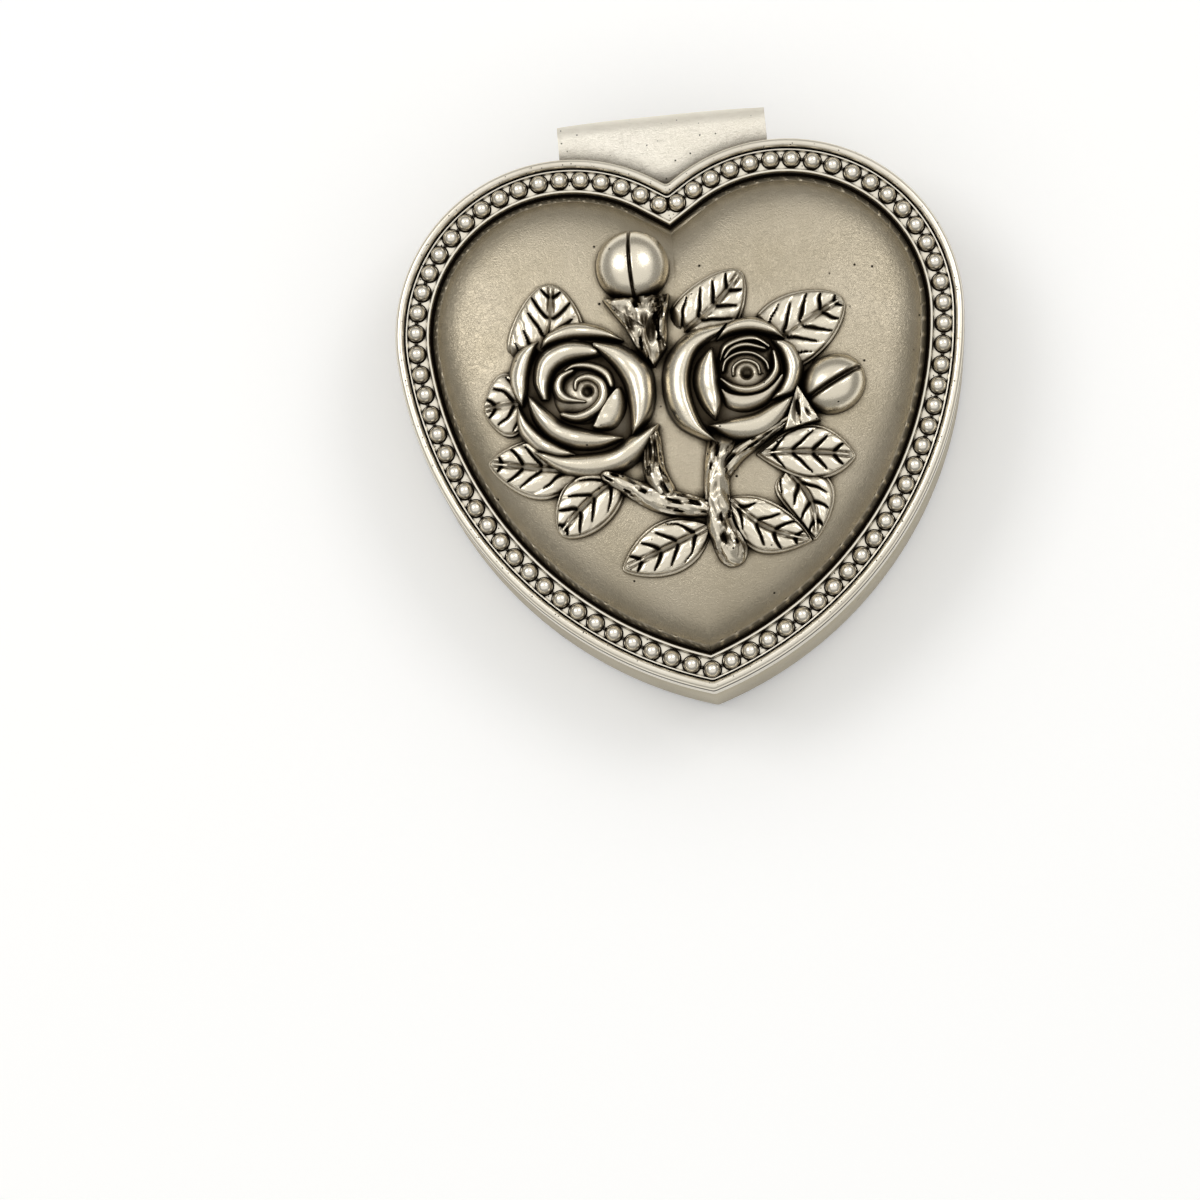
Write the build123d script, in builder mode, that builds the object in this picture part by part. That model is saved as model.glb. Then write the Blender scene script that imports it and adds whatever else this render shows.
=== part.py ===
from build123d import *
import os
from math import asin, atan2, cos, degrees, hypot, pi, sin, sqrt

# Heart-shaped keepsake box of cast and soldered white metal, with a hinged domed lid that carries a bead border and
# applied roses, buds and leaves. Millimetres. +Z is up, +Y points to the hinge and -Y to the tip of the heart.
# The origin is on the resting face, midway between the tops of the lobes and the tip.

# ---- Heart outline, at the outer edge of lid and base ----
lobe_spacing = 30.2  # between the centres of the two lobes
lobe_center_y = 13.7
lobe_radius = 24.9
side_radius = 56.6  # long arcs from the lobes to the tip
shoulder_length = 1.84  # straight stretch beside the notch
tip_y = -38.3
tip_round = 1.2
notch_round = 0.8

# ---- Base ----
felt_thickness = 0.8
felt_inset = 1.6
base_height = 15.4  # foot to seam
floor_thickness = 1.6
wall_thickness = 1.8
spigot_inset = 1.1  # outer face of the spigot, from the outside of the wall
spigot_height = 1.2

# ---- Velvet linings ----
wall_lining_thickness = 1.0
wall_lining_drop = 0.6  # top edge below the seam
floor_pad_thickness = 2.2
floor_pad_crown = 0.9  # rise of the crown, part of the thickness
lid_pad_thickness = 1.7
lid_pad_crown = 0.7
crown_run = 5.0  # how far in from its edge a pad keeps rising
lining_clearance = 0.05
pad_clearance = 0.4

# ---- Lid frame, from the seam up ----
skirt_thickness = 0.8
skirt_height = 2.4
web_thickness = 1.3  # the plate that carries channel and dome
channel_rise = 0.4  # channel floor above the dome's seat
moulding_width = 1.36
moulding_height = 1.2
moulding_chamfer = 0.42
lip_width = 0.5
lip_height = 0.9
channel_width = 3.0  # between moulding and lip
seat_width = 3.1  # ledge for the dome, inside the lip

# ---- Bead border ----
beads_per_side = 39  # and one more at the tip
bead_diameter = 2.44
bead_height = 1.5
bead_sides = 6
bead_waist_share = 0.5  # height of the waist, as a share of the bead's height
# Radii at foot, waist and top, as shares of the bead's radius
bead_foot = 0.98
bead_waist = 0.93
bead_top = 0.42

# ---- Dome ----
dome_gap = 1.2  # dark groove between lip and dome
dome_thickness = 1.2  # of its wall, at its foot
dome_height = 6.0  # top of the crown above its seat
crown_radius = 237.0  # of the sphere that the crown follows
crown_y = 3.0
crown_rings = (42.0, 30.0, 20.0, 10.0)  # where the crown's flats meet, out from its middle
crown_sides = 20
# Rounded shoulder of the dome outside and inside: (in from its edge, up from its seat)
dome_shoulder = [(0.0, 0.0), (0.5, 1.6), (2.5, 3.3), (9.0, 6.4)]
hollow_shoulder = [(0.0, 0.0), (4.0, 3.2)]

# ---- Hinge ----
tab_width = 29.4
tab_corner_y = 43.9
tab_bow = 0.6
cover_thickness = 1.2
cover_front_rise = 3.5  # top of the tab above the seam, at the rim
pin_drop = 0.8  # hinge axis below the seam
pin_radius = 0.7
pin_clearance = 0.05
knuckle_radius = 1.5
knuckle_count = 3
knuckle_gap = 0.2
leaf_gap = 0.3
leaf_depth = 7.7  # base leaf below the seam, where it meets the wall
leaf_front_y = 31.0  # just inside the notch, where both leaves are trimmed to the outline
leaf_rear_angle = -112.0  # rear edge of the base leaf, seen from the pin
leaf_rear_radius = 2.9
pin_recess = 0.3  # ends of the pin, below the sides of the tab

# ---- Roses: (x, y) of the centre, then the petals around it ----
# A petal is a crescent: first tip, a point of the outer edge, second tip, a point of the inner edge, and its height.
petal_taper = 8.0  # degrees that the sides of a petal lean in
petal_facets = 5  # flats along each edge of a petal
foot_facets = 16
rose_foot_height = 1.3
outer_petal = 2.6
middle_petal = 3.1
inner_petal = 3.6
left_rose_center = (-13.9, 4.6)
left_rose_foot = (-0.4, -0.8, 9.3, 10.0)
left_petals = [
    ((-5.4, 8.3), (-10.1, 5.0), (-9.4, -0.9), (-8.0, 3.6), outer_petal),
    ((-6.1, 6.9), (-1.1, 10.3), (5.4, 7.1), (-1.1, 8.1), outer_petal),
    ((-9.7, -1.1), (-8.4, -6.6), (-2.4, -8.6), (-6.9, -5.6), outer_petal),
    ((-8.4, -7.2), (-0.1, -11.9), (10.0, -5.6), (-0.1, -9.6), outer_petal),
    ((1.8, 7.0), (9.5, 1.9), (6.2, -6.8), (6.5, 0.9), middle_petal),
    ((-6.0, -0.4), (-5.7, 6.1), (1.7, 6.7), (-4.3, 4.8), middle_petal),
    ((-8.0, -0.1), (-4.4, -6.6), (4.4, -7.2), (-2.9, -5.1), middle_petal),
    ((4.8, 0.3), (5.3, -4.0), (0.6, -4.6), (2.7, -2.0), outer_petal),
    ((-3.9, -2.3), (0.4, -3.4), (3.5, 0.9), (0.3, -1.7), inner_petal),
    ((-1.1, 3.6), (-4.1, 0.7), (0.2, -1.2), (-2.5, 0.8), inner_petal),
    ((-1.6, 0.3), (0.2, 3.4), (3.5, 0.6), (0.3, 1.7), inner_petal),
]
right_rose_center = (8.6, 4.6)
right_rose_foot = (-1.8, -0.5, 9.1, 8.0)
right_petals = [
    ((-3.2, 7.9), (-11.9, -0.4), (-4.0, -9.2), (-8.6, -0.6), outer_petal),
    ((-3.4, 6.7), (1.2, 8.4), (5.8, 5.0), (1.2, 6.8), outer_petal),
    ((3.9, 4.8), (8.1, 0.4), (4.1, -3.6), (6.3, 0.6), outer_petal),
    ((-5.6, -6.6), (0.9, -9.2), (6.2, -3.4), (0.9, -5.8), outer_petal),
    ((-4.6, 4.6), (-7.3, -0.6), (-4.8, -5.6), (-3.9, -0.6), middle_petal),
    ((-3.8, -1.6), (0.2, -4.5), (4.6, -1.0), (0.4, -2.6), middle_petal),
    ((-3.8, 0.0), (0.4, -2.5), (4.7, 1.9), (0.6, -1.0), inner_petal),
    ((-3.6, 1.7), (0.4, 5.8), (4.0, 3.6), (0.4, 4.2), inner_petal),
    ((-1.8, 0.3), (0.4, 3.3), (2.4, 0.3), (0.3, 1.4), inner_petal),
]

# ---- Buds, each with its calyx ----
top_bud = ((-5.7, 21.6), 10.3, 10.3, 4.0, 90.0)  # centre, length, width, height, direction in degrees
side_bud = ((20.6, 2.4), 9.4, 8.2, 3.4, 27.0)
bud_facets = 12
bud_tiers = 3
bud_top_share = 0.97  # of the height, where the bud ends in a flat
bud_crease_width = 0.35
bud_crease_depth = 0.45
top_calyx = [(-10.3, 16.9), (-6.3, 13.0), (-3.9, 8.0), (-1.5, 13.0), (-1.1, 16.9)]
side_calyx = [(13.0, -3.8), (18.2, -2.6), (15.6, 2.6)]
calyx_height = 2.3
calyx_taper = 15.0

# ---- Stem and branches: (x, y, half width) along each limb ----
stem_height = 2.4
limb_taper = 12.0  # degrees that the sides of a limb lean in
main_stem = [(4.3, -4.5, 1.7), (3.2, -9.5, 1.7), (3.0, -14.5, 1.9), (4.3, -19.0, 2.2), (5.4, -20.9, 2.0)]
left_branch = [(2.6, -13.4, 1.2), (-3.6, -11.9, 1.9), (-7.4, -10.2, 1.5), (-12.6, -7.3, 0.9)]
upper_branch = [(-4.4, -11.0, 1.6), (-5.4, -6.5, 1.4), (-5.0, -1.5, 0.9)]
side_branch = [(4.2, -8.4, 1.0), (8.6, -5.6, 0.8), (14.2, -3.2, 0.6)]

# ---- Leaves: base, tip and width of each; a leaf passes under those listed before it ----
leaf_rim = 0.7
leaf_crown = 0.7
leaf_slope = 62.0  # degrees from upright, from rim to crown
leaf_facets = 5  # flats along each edge
leaf_fullness = 0.85  # below 1, the widest place is nearer the base
midrib_width = 0.5
midrib_depth = 0.4
leaves = {
    "leaf_top_left": ((-19.5, 9.5), (-17.3, 20.4), 10.0),
    "leaf_left": ((-20.5, 4.1), (-28.2, 3.7), 8.4),
    "leaf_lower_left": ((-16.5, -6.2), (-28.3, -4.3), 7.4),
    "leaf_inner_left": ((-11.2, -7.6), (-19.4, -15.3), 7.6),
    "leaf_bottom_left": ((1.6, -16.4), (-10.9, -20.6), 7.2),
    "leaf_bottom_right": ((4.2, -13.4), (15.6, -19.0), 7.2),
    "leaf_right": ((9.5, -5.4), (22.4, -9.0), 7.2),
    "leaf_inner_right": ((14.4, -8.6), (16.6, -18.6), 7.8),
    "leaf_top_right": ((12.0, 7.4), (23.4, 14.2), 8.6),
    "leaf_top_center": ((-2.3, 10.4), (9.7, 19.8), 8.0),
}

# ---- Levels and insets that follow from the sizes above ----
foot_z = felt_thickness
floor_z = foot_z + floor_thickness
seam_z = foot_z + base_height
web_z = seam_z + skirt_height
seat_z = web_z + web_thickness
channel_z = seat_z + channel_rise
crown_z = seat_z + dome_height
moulding_inner = -moulding_width
lip_outer = moulding_inner - channel_width
lip_inner = lip_outer - lip_width
bead_line = (moulding_inner + lip_outer) / 2
bead_radius = bead_diameter / 2
bead_waist_height = bead_waist_share * bead_height
dome_edge = lip_inner - dome_gap
frame_inner = lip_inner - seat_width
pin_z = seam_z - pin_drop
cover_radius = knuckle_radius + leaf_gap + cover_thickness
pin_y = tab_corner_y + tab_bow - cover_radius
tiny = 0.01
shell_bite = 1.0  # how far a prism reaches below the face that it is trimmed to


def circle_point(center, radius, angle):
    """Point of a circle at an angle in radians."""
    return center + Vector(radius * cos(angle), radius * sin(angle))


def circle_arc(center, radius, start, end):
    """Arc of a circle between two angles in radians."""
    middle = circle_point(center, radius, (start + end) / 2)
    return ThreePointArc(circle_point(center, radius, start), middle, circle_point(center, radius, end))


def side_center():
    """Centre of the long arc that passes through the tip and runs smoothly into the right lobe."""
    tip = Vector(0, tip_y)
    across = Vector(lobe_spacing / 2, lobe_center_y) - tip
    span = across.length
    along = (span**2 + side_radius**2 - (side_radius - lobe_radius) ** 2) / (2 * span)
    off = sqrt(side_radius**2 - along**2)
    return tip + across * (along / span) + Vector(-across.Y, across.X) * (off / span)


def half_outline(offset):
    """Right half of the outline from the tip to the notch, moved outward by offset."""
    side = side_center()
    side_r = side_radius + offset
    lobe = Vector(lobe_spacing / 2, lobe_center_y)
    lobe_r = lobe_radius + offset
    tip = -asin(sqrt(side_r**2 - side.X**2) / side_r)
    join = atan2(lobe.Y - side.Y, lobe.X - side.X)
    slope = asin(lobe.X / hypot(lobe_radius, shoulder_length)) - atan2(shoulder_length, lobe_radius)
    shoulder = circle_point(lobe, lobe_r, pi / 2 + slope)
    with BuildLine(mode=Mode.PRIVATE) as half:
        circle_arc(side, side_r, tip, join)
        circle_arc(lobe, lobe_r, join, pi / 2 + slope)
        Line(shoulder, (0, shoulder.Y - shoulder.X * sin(slope) / cos(slope)))
    return half.wire()


def heart(offset=0.0, rounded=True):
    """Face of the heart with its outline moved outward by offset, with or without its two corners rounded."""
    with BuildSketch(mode=Mode.PRIVATE) as face:
        with BuildLine():
            add(half_outline(offset))
            mirror(about=Plane.YZ)
        make_face()
        if rounded:
            for nth, radius in ((0, tip_round), (-1, notch_round)):
                corners = face.vertices().filter_by_position(Axis.X, -tiny, tiny).sort_by(Axis.Y)
                fillet(corners[nth], radius)
    return face.sketch


def heart_ring(outer, inner):
    """Band between two offsets of the heart."""
    with BuildSketch(mode=Mode.PRIVATE) as ring:
        add(heart(outer))
        add(heart(inner), mode=Mode.SUBTRACT)
    return ring.sketch


def heart_tiers(offset, start_z, tiers):
    """Solid of tapering tiers on the heart, each between two (inset, rise) pairs."""
    with BuildPart(mode=Mode.PRIVATE) as stack:
        for (inset, rise), (next_inset, next_rise) in zip(tiers, tiers[1:]):
            height = next_rise - rise
            with BuildSketch(Plane.XY.offset(start_z + rise)):
                add(heart(offset - inset, rounded=False))
            extrude(amount=height, taper=degrees(atan2(next_inset - inset, height)))
    return stack.part


def crown_height(x, y):
    """Height of the crown's sphere at a place in plan."""
    return crown_z - crown_radius + sqrt(crown_radius**2 - x**2 - (y - crown_y) ** 2)


def crown_solid():
    """Very flat faceted mound whose top is the crown of the dome."""
    levels = [(ring, crown_height(ring, crown_y)) for ring in crown_rings]
    with BuildPart(mode=Mode.PRIVATE) as mound:
        with BuildSketch(Plane.XY.offset(seat_z - shell_bite)):
            with Locations((0, crown_y)):
                RegularPolygon(levels[0][0], crown_sides)
        extrude(amount=levels[0][1] - seat_z + shell_bite)
        for (ring, level), (next_ring, next_level) in zip(levels, levels[1:]):
            inset = (ring - next_ring) * cos(pi / crown_sides)
            with BuildSketch(Plane.XY.offset(level)):
                with Locations((0, crown_y)):
                    RegularPolygon(ring, crown_sides)
            extrude(amount=next_level - level, taper=degrees(atan2(inset, next_level - level)))
    return mound.part


def arc_points(start, middle, end, steps):
    """Points along the arc through three points, both ends included."""
    arc = ThreePointArc(start, middle, end, mode=Mode.PRIVATE)
    return [arc.position_at(step / steps) for step in range(steps + 1)]


def crescent_points(center, first, outer, second, inner):
    """Crescent between two tips, one edge through the outer point and one through the inner point."""
    corners = (Vector(*center) + Vector(*point) for point in (first, outer, second, inner))
    tip_a, bulge, tip_b, hollow = corners
    outer_edge = arc_points(tip_a, bulge, tip_b, petal_facets)
    inner_edge = arc_points(tip_b, hollow, tip_a, petal_facets)
    return outer_edge + inner_edge[1:-1]


def ellipse_points(center, radius_x, radius_y, count, angle=0.0):
    """Corners of a faceted ellipse whose first axis is turned by an angle in degrees."""
    turns = [2 * pi * (index + 0.5) / count for index in range(count)]
    corners = [Vector(radius_x * cos(turn), radius_y * sin(turn)) for turn in turns]
    return [Vector(*center) + corner.rotate(Axis.Z, angle) for corner in corners]


def limb_points(stations):
    """Outline of a limb of a branch from (x, y, half width) along its middle."""
    centers = [Vector(x, y) for x, y, _ in stations]
    left, right = [], []
    for index, (center, station) in enumerate(zip(centers, stations)):
        before = centers[max(index - 1, 0)]
        after = centers[min(index + 1, len(centers) - 1)]
        sideways = (after - before).normalized().rotate(Axis.Z, 90) * station[2]
        left.append(center + sideways)
        right.append(center - sideways)
    return right + left[::-1]


def leaf_points(length, width):
    """Outline of a leaf about its own middle, pointed at both ends and widest nearer its base."""
    shares = [step / leaf_facets for step in range(leaf_facets + 1)]
    edge = [Vector((share - 0.5) * length, width / 2 * sin(pi * share**leaf_fullness)) for share in shares]
    return [Vector(point.X, -point.Y) for point in edge] + edge[-2:0:-1]


def prism(points, plane, height, taper=0.0):
    """Straight-edged solid on a plane, its sides leaning in by the taper in degrees."""
    with BuildPart(mode=Mode.PRIVATE) as solid:
        with BuildSketch(plane):
            with BuildLine():
                Polyline(*points, close=True)
            make_face()
        extrude(amount=height, taper=taper)
    return solid.part


def standing(points, height, taper=0.0):
    """Prism from below the crown to a height above it, measured at the middle of the outline."""
    middle = sum(points, Vector()) / len(points)
    start = crown_height(middle.X, middle.Y) - shell_bite
    return prism(points, Plane.XY.offset(start), shell_bite + height, taper)


def rose(center, foot, petals):
    """Rose: a low foot with petals that rise towards its heart."""
    shift_x, shift_y, radius_x, radius_y = foot
    foot_center = (center[0] + shift_x, center[1] + shift_y)
    with BuildPart(mode=Mode.PRIVATE) as blank:
        add(standing(ellipse_points(foot_center, radius_x, radius_y, foot_facets), rose_foot_height))
        for *corners, height in petals:
            add(standing(crescent_points(center, *corners), height, petal_taper))
    return blank.part


def bud(center, length, width, height, angle):
    """Closed bud: a faceted half ellipsoid with a crease along its length."""
    base_z = crown_height(*center)
    rises = [height * sin(pi / 2 * step / bud_tiers) for step in range(bud_tiers)] + [bud_top_share * height]
    insets = [width / 2 * (1 - sqrt(1 - (rise / height) ** 2)) for rise in rises]
    with BuildPart(mode=Mode.PRIVATE) as blank:
        outline = ellipse_points(center, length / 2, width / 2, bud_facets, angle)
        add(prism(outline, Plane.XY.offset(base_z - shell_bite), shell_bite))
        for rise, inset, next_rise, next_inset in zip(rises, insets, rises[1:], insets[1:]):
            outline = ellipse_points(center, length / 2 - inset, width / 2 - inset, bud_facets, angle)
            lean = (next_inset - inset) * cos(pi / bud_facets)
            taper = degrees(atan2(lean, next_rise - rise))
            add(prism(outline, Plane.XY.offset(base_z + rise), next_rise - rise, taper))
        with BuildSketch(Plane.XY.offset(base_z + rises[-1] - bud_crease_depth)):
            with Locations(Location((*center, 0), (0, 0, angle))):
                Rectangle(length, bud_crease_width)
        extrude(amount=2 * bud_crease_depth, mode=Mode.SUBTRACT)
    return blank.part


def leaf(base, tip, width):
    """Leaf that lies along the slope of the crown: upright rim, crowned top, groove along its midrib."""
    start, end = Vector(*base), Vector(*tip)
    middle = (start + end) / 2
    top = Vector(middle.X, middle.Y, crown_height(middle.X, middle.Y))
    normal = top - Vector(0, crown_y, crown_z - crown_radius)
    bed = Plane(origin=top, x_dir=end - start, z_dir=normal)
    outline = leaf_points((end - start).length, width)
    with BuildPart(mode=Mode.PRIVATE) as blank:
        add(prism(outline, bed.offset(-shell_bite), shell_bite + leaf_rim))
        add(prism(outline, bed.offset(leaf_rim), leaf_crown, leaf_slope))
        with BuildSketch(bed.offset(leaf_rim + leaf_crown - midrib_depth)):
            Rectangle((end - start).length, midrib_width)
        extrude(amount=2 * midrib_depth, mode=Mode.SUBTRACT)
    return blank.part


def seated(blank, pieces_above):
    """The blank trimmed to the crown and to the pieces above it, without the crumbs that this leaves."""
    with BuildPart(mode=Mode.PRIVATE) as trimmed:
        add(blank)
        add(crown, mode=Mode.SUBTRACT)
        for piece in pieces_above:
            add(piece, mode=Mode.SUBTRACT)
    return trimmed.part.solids().sort_by(SortBy.VOLUME)[-1]


def finish(piece, name):
    """Label a piece and write it to its own file."""
    piece.part.label = name
    export_step(piece.part, f"parts/{name}.step")


os.makedirs("parts", exist_ok=True)

# ---- Base shell: wall, floor, and a spigot that centres the lid ----
with BuildPart() as base_shell:
    with BuildSketch(Plane.XY.offset(foot_z)):
        add(heart())
    extrude(amount=base_height)
    with BuildSketch(Plane.XY.offset(seam_z)):
        add(heart(-spigot_inset))
    extrude(amount=spigot_height)
    with BuildSketch(Plane.XY.offset(floor_z)):
        add(heart(-wall_thickness))
    extrude(amount=base_height + spigot_height, mode=Mode.SUBTRACT)
finish(base_shell, "base_shell")

# ---- Felt pad that the box stands on ----
with BuildPart() as base_felt:
    with BuildSketch():
        add(heart(-felt_inset))
    extrude(amount=felt_thickness)
finish(base_felt, "base_felt")

# ---- Velvet lining: a strip on the wall, a crowned pad on the floor ----
wall_lining_inner = -wall_thickness - lining_clearance - wall_lining_thickness
with BuildPart() as wall_lining:
    with BuildSketch(Plane.XY.offset(floor_z)):
        add(heart_ring(-wall_thickness - lining_clearance, wall_lining_inner))
    extrude(amount=seam_z - wall_lining_drop - floor_z)
finish(wall_lining, "wall_lining")

floor_pad_outer = wall_lining_inner - pad_clearance
with BuildPart() as floor_lining:
    with BuildSketch(Plane.XY.offset(floor_z)):
        add(heart(floor_pad_outer, rounded=False))
    extrude(amount=floor_pad_thickness)
    chamfer(floor_lining.edges().group_by(Axis.Z)[-1], floor_pad_crown, crown_run)
finish(floor_lining, "floor_lining")

# ---- Lid frame: skirt, web, bead channel between the outer moulding and a thin inner lip ----
with BuildPart() as lid_frame:
    with BuildSketch(Plane.XY.offset(seam_z)):
        add(heart_ring(0, -skirt_thickness))
    extrude(amount=skirt_height)
    with BuildSketch(Plane.XY.offset(web_z)):
        add(heart_ring(0, frame_inner))
    extrude(amount=web_thickness)
    with BuildSketch(Plane.XY.offset(seat_z)):
        add(heart_ring(0, lip_inner))
    extrude(amount=channel_rise)
    with BuildSketch(Plane.XY.offset(channel_z)):
        add(heart_ring(lip_outer, lip_inner))
    extrude(amount=lip_height)
    with BuildSketch(Plane.XY.offset(channel_z)):
        add(heart_ring(0, moulding_inner))
    extrude(amount=moulding_height)
    chamfer(lid_frame.edges().group_by(Axis.Z)[-1], moulding_chamfer)
finish(lid_frame, "lid_frame")

# ---- Bead border: beads half sunk in the channel, joined by a fine wire ----
half_path = half_outline(bead_line)
bead_pitch = half_path.length / (beads_per_side + 0.5)
bead_places = [half_path.position_at(0)]
for index in range(1, beads_per_side + 1):
    place = half_path.position_at(index * bead_pitch / half_path.length)
    bead_places += [place, Vector(-place.X, place.Y)]

with BuildPart(mode=Mode.PRIVATE) as bead:
    for level, height, foot, top in (
        (0, bead_waist_height, bead_foot, bead_waist),
        (bead_waist_height, bead_height - bead_waist_height, bead_waist, bead_top),
    ):
        with BuildSketch(Plane.XY.offset(level)):
            RegularPolygon(foot * bead_radius, bead_sides)
        inset = (foot - top) * bead_radius * cos(pi / bead_sides)
        extrude(amount=height, taper=degrees(atan2(inset, height)))

with BuildPart() as bead_border:
    with Locations(*[(place.X, place.Y, channel_z) for place in bead_places]):
        add(bead.part)
finish(bead_border, "bead_border")

# ---- Lid dome: rounded shoulder under a very flat crown, hollow below ----
crown = crown_solid()
with BuildPart() as lid_dome:
    add(heart_tiers(dome_edge, seat_z, dome_shoulder))
    add(crown, mode=Mode.INTERSECT)
    add(heart_tiers(dome_edge - dome_thickness, seat_z, hollow_shoulder), mode=Mode.SUBTRACT)
finish(lid_dome, "lid_dome")

# ---- Lid lining: a velvet-covered pad under the web, crowned towards the inside of the box ----
lid_pad_outer = -wall_thickness - pad_clearance
with BuildPart() as lid_lining:
    with BuildSketch(Plane.XY.offset(web_z - lid_pad_thickness)):
        add(heart(lid_pad_outer, rounded=False))
    extrude(amount=lid_pad_thickness)
    chamfer(lid_lining.edges().group_by(Axis.Z)[0], lid_pad_crown, crown_run)
finish(lid_lining, "lid_lining")

# ---- Hinge ----
with BuildSketch(mode=Mode.PRIVATE) as tab_plan:
    with BuildLine():
        half_tab = tab_width / 2
        ThreePointArc((-half_tab, tab_corner_y), (0, tab_corner_y + tab_bow), (half_tab, tab_corner_y))
        Polyline((half_tab, tab_corner_y), (half_tab, 0), (-half_tab, 0), (-half_tab, tab_corner_y))
    make_face()

hinge_plane = Plane(origin=(0, pin_y, pin_z), x_dir=(0, 1, 0), z_dir=(1, 0, 0))
front_of_pin = leaf_front_y - pin_y
knuckle_pitch = (tab_width + knuckle_gap) / knuckle_count
knuckle_length = knuckle_pitch - knuckle_gap
knuckle_centers = [(index - (knuckle_count - 1) / 2) * knuckle_pitch for index in range(knuckle_count)]
lid_knuckles = knuckle_centers[0::2]
base_knuckles = knuckle_centers[1::2]
pocket_radius = knuckle_radius + leaf_gap


def hinge_rods(centers, radius, length):
    """Cylinders along the hinge axis, centred at the given stations."""
    with BuildPart(mode=Mode.PRIVATE) as rods:
        for center in centers:
            with BuildSketch(hinge_plane.offset(center)):
                Circle(radius)
            extrude(amount=length / 2, both=True)
    return rods.part


pin_bore = hinge_rods([0], pin_radius + pin_clearance, tab_width)
seat_gap = knuckle_length + 2 * knuckle_gap

with BuildPart() as hinge_cover:
    with BuildSketch(hinge_plane):
        with BuildLine():
            Polyline((0, 0), (cover_radius, 0))
            crest = CenterArc((0, 0), cover_radius, 0, 88)
            Polyline(
                crest @ 1,
                (front_of_pin, cover_front_rise + pin_drop),
                (front_of_pin, pin_drop + leaf_gap / 2),
                (0, pin_drop + leaf_gap / 2),
                (0, 0),
            )
        make_face()
        Circle(knuckle_radius)
    extrude(amount=tab_width / 2, both=True)
    add(hinge_rods(base_knuckles, pocket_radius, seat_gap), mode=Mode.SUBTRACT)
    add(pin_bore, mode=Mode.SUBTRACT)
    with BuildSketch(Plane.XY):
        add(tab_plan.sketch)
    extrude(amount=crown_z, mode=Mode.INTERSECT)
    with BuildSketch(Plane.XY):
        add(heart())
    extrude(amount=crown_z, mode=Mode.SUBTRACT)
finish(hinge_cover, "hinge_cover")

rear = Vector(leaf_rear_radius, 0).rotate(Axis.Z, leaf_rear_angle)
with BuildPart() as base_hinge_leaf:
    with BuildSketch(hinge_plane):
        with BuildLine():
            Polyline(
                (0, 0),
                (rear.X, rear.Y),
                (front_of_pin, pin_drop - leaf_depth),
                (front_of_pin, pin_drop - leaf_gap / 2),
                (-knuckle_radius / 2, pin_drop - leaf_gap / 2),
                close=True,
            )
        make_face()
        Circle(knuckle_radius)
    extrude(amount=tab_width / 2, both=True)
    add(hinge_rods(lid_knuckles, pocket_radius, seat_gap), mode=Mode.SUBTRACT)
    add(pin_bore, mode=Mode.SUBTRACT)
    with BuildSketch(Plane.XY):
        add(heart())
    extrude(amount=crown_z, mode=Mode.SUBTRACT)
finish(base_hinge_leaf, "base_hinge_leaf")

with BuildPart() as hinge_pin:
    add(hinge_rods([0], pin_radius, tab_width - 2 * pin_recess))
finish(hinge_pin, "hinge_pin")

# ---- Ornament: every piece is trimmed to the crown of the dome and to the pieces that lie over it ----
with BuildPart() as rose_left:
    add(seated(rose(left_rose_center, left_rose_foot, left_petals), []))
finish(rose_left, "rose_left")

with BuildPart() as rose_right:
    add(seated(rose(right_rose_center, right_rose_foot, right_petals), [rose_left.part]))
finish(rose_right, "rose_right")
roses = [rose_left.part, rose_right.part]

with BuildPart() as rosebud_top:
    add(seated(bud(*top_bud), roses))
finish(rosebud_top, "rosebud_top")

with BuildPart() as calyx_top:
    add(seated(standing([Vector(*point) for point in top_calyx], calyx_height, calyx_taper), roses))
    add(rosebud_top.part, mode=Mode.SUBTRACT)
finish(calyx_top, "calyx_top")

with BuildPart() as rosebud_side:
    add(seated(bud(*side_bud), roses))
finish(rosebud_side, "rosebud_side")

with BuildPart() as calyx_side:
    add(seated(standing([Vector(*point) for point in side_calyx], calyx_height, calyx_taper), roses))
    add(rosebud_side.part, mode=Mode.SUBTRACT)
finish(calyx_side, "calyx_side")
blossoms = roses + [rosebud_top.part, calyx_top.part, rosebud_side.part, calyx_side.part]

with BuildPart(mode=Mode.PRIVATE) as limbs:
    for stations in (main_stem, left_branch, upper_branch, side_branch):
        add(standing(limb_points(stations), stem_height, limb_taper))
with BuildPart() as branch:
    add(seated(limbs.part, blossoms))
finish(branch, "branch")

pieces_above = blossoms + [branch.part]
for name, sizes in leaves.items():
    with BuildPart() as single_leaf:
        add(seated(leaf(*sizes), pieces_above))
    finish(single_leaf, name)
    pieces_above.append(single_leaf.part)
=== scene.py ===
"""Heart-shaped keepsake box in antiqued white metal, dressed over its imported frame.

Sizes are in millimetres in the makers' frame: +Z is up, +Y points to the hinge and the origin is on the resting
face. One function turns them to the metres that Blender works in.
"""
import logging
from dataclasses import dataclass, field
from enum import Enum
from math import asin, atan2, cos, exp, hypot, pi, radians, sin, sqrt, tan
from typing import Any, Callable, Sequence

import bmesh
import bpy
from mathutils import Matrix, Vector, noise


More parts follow.
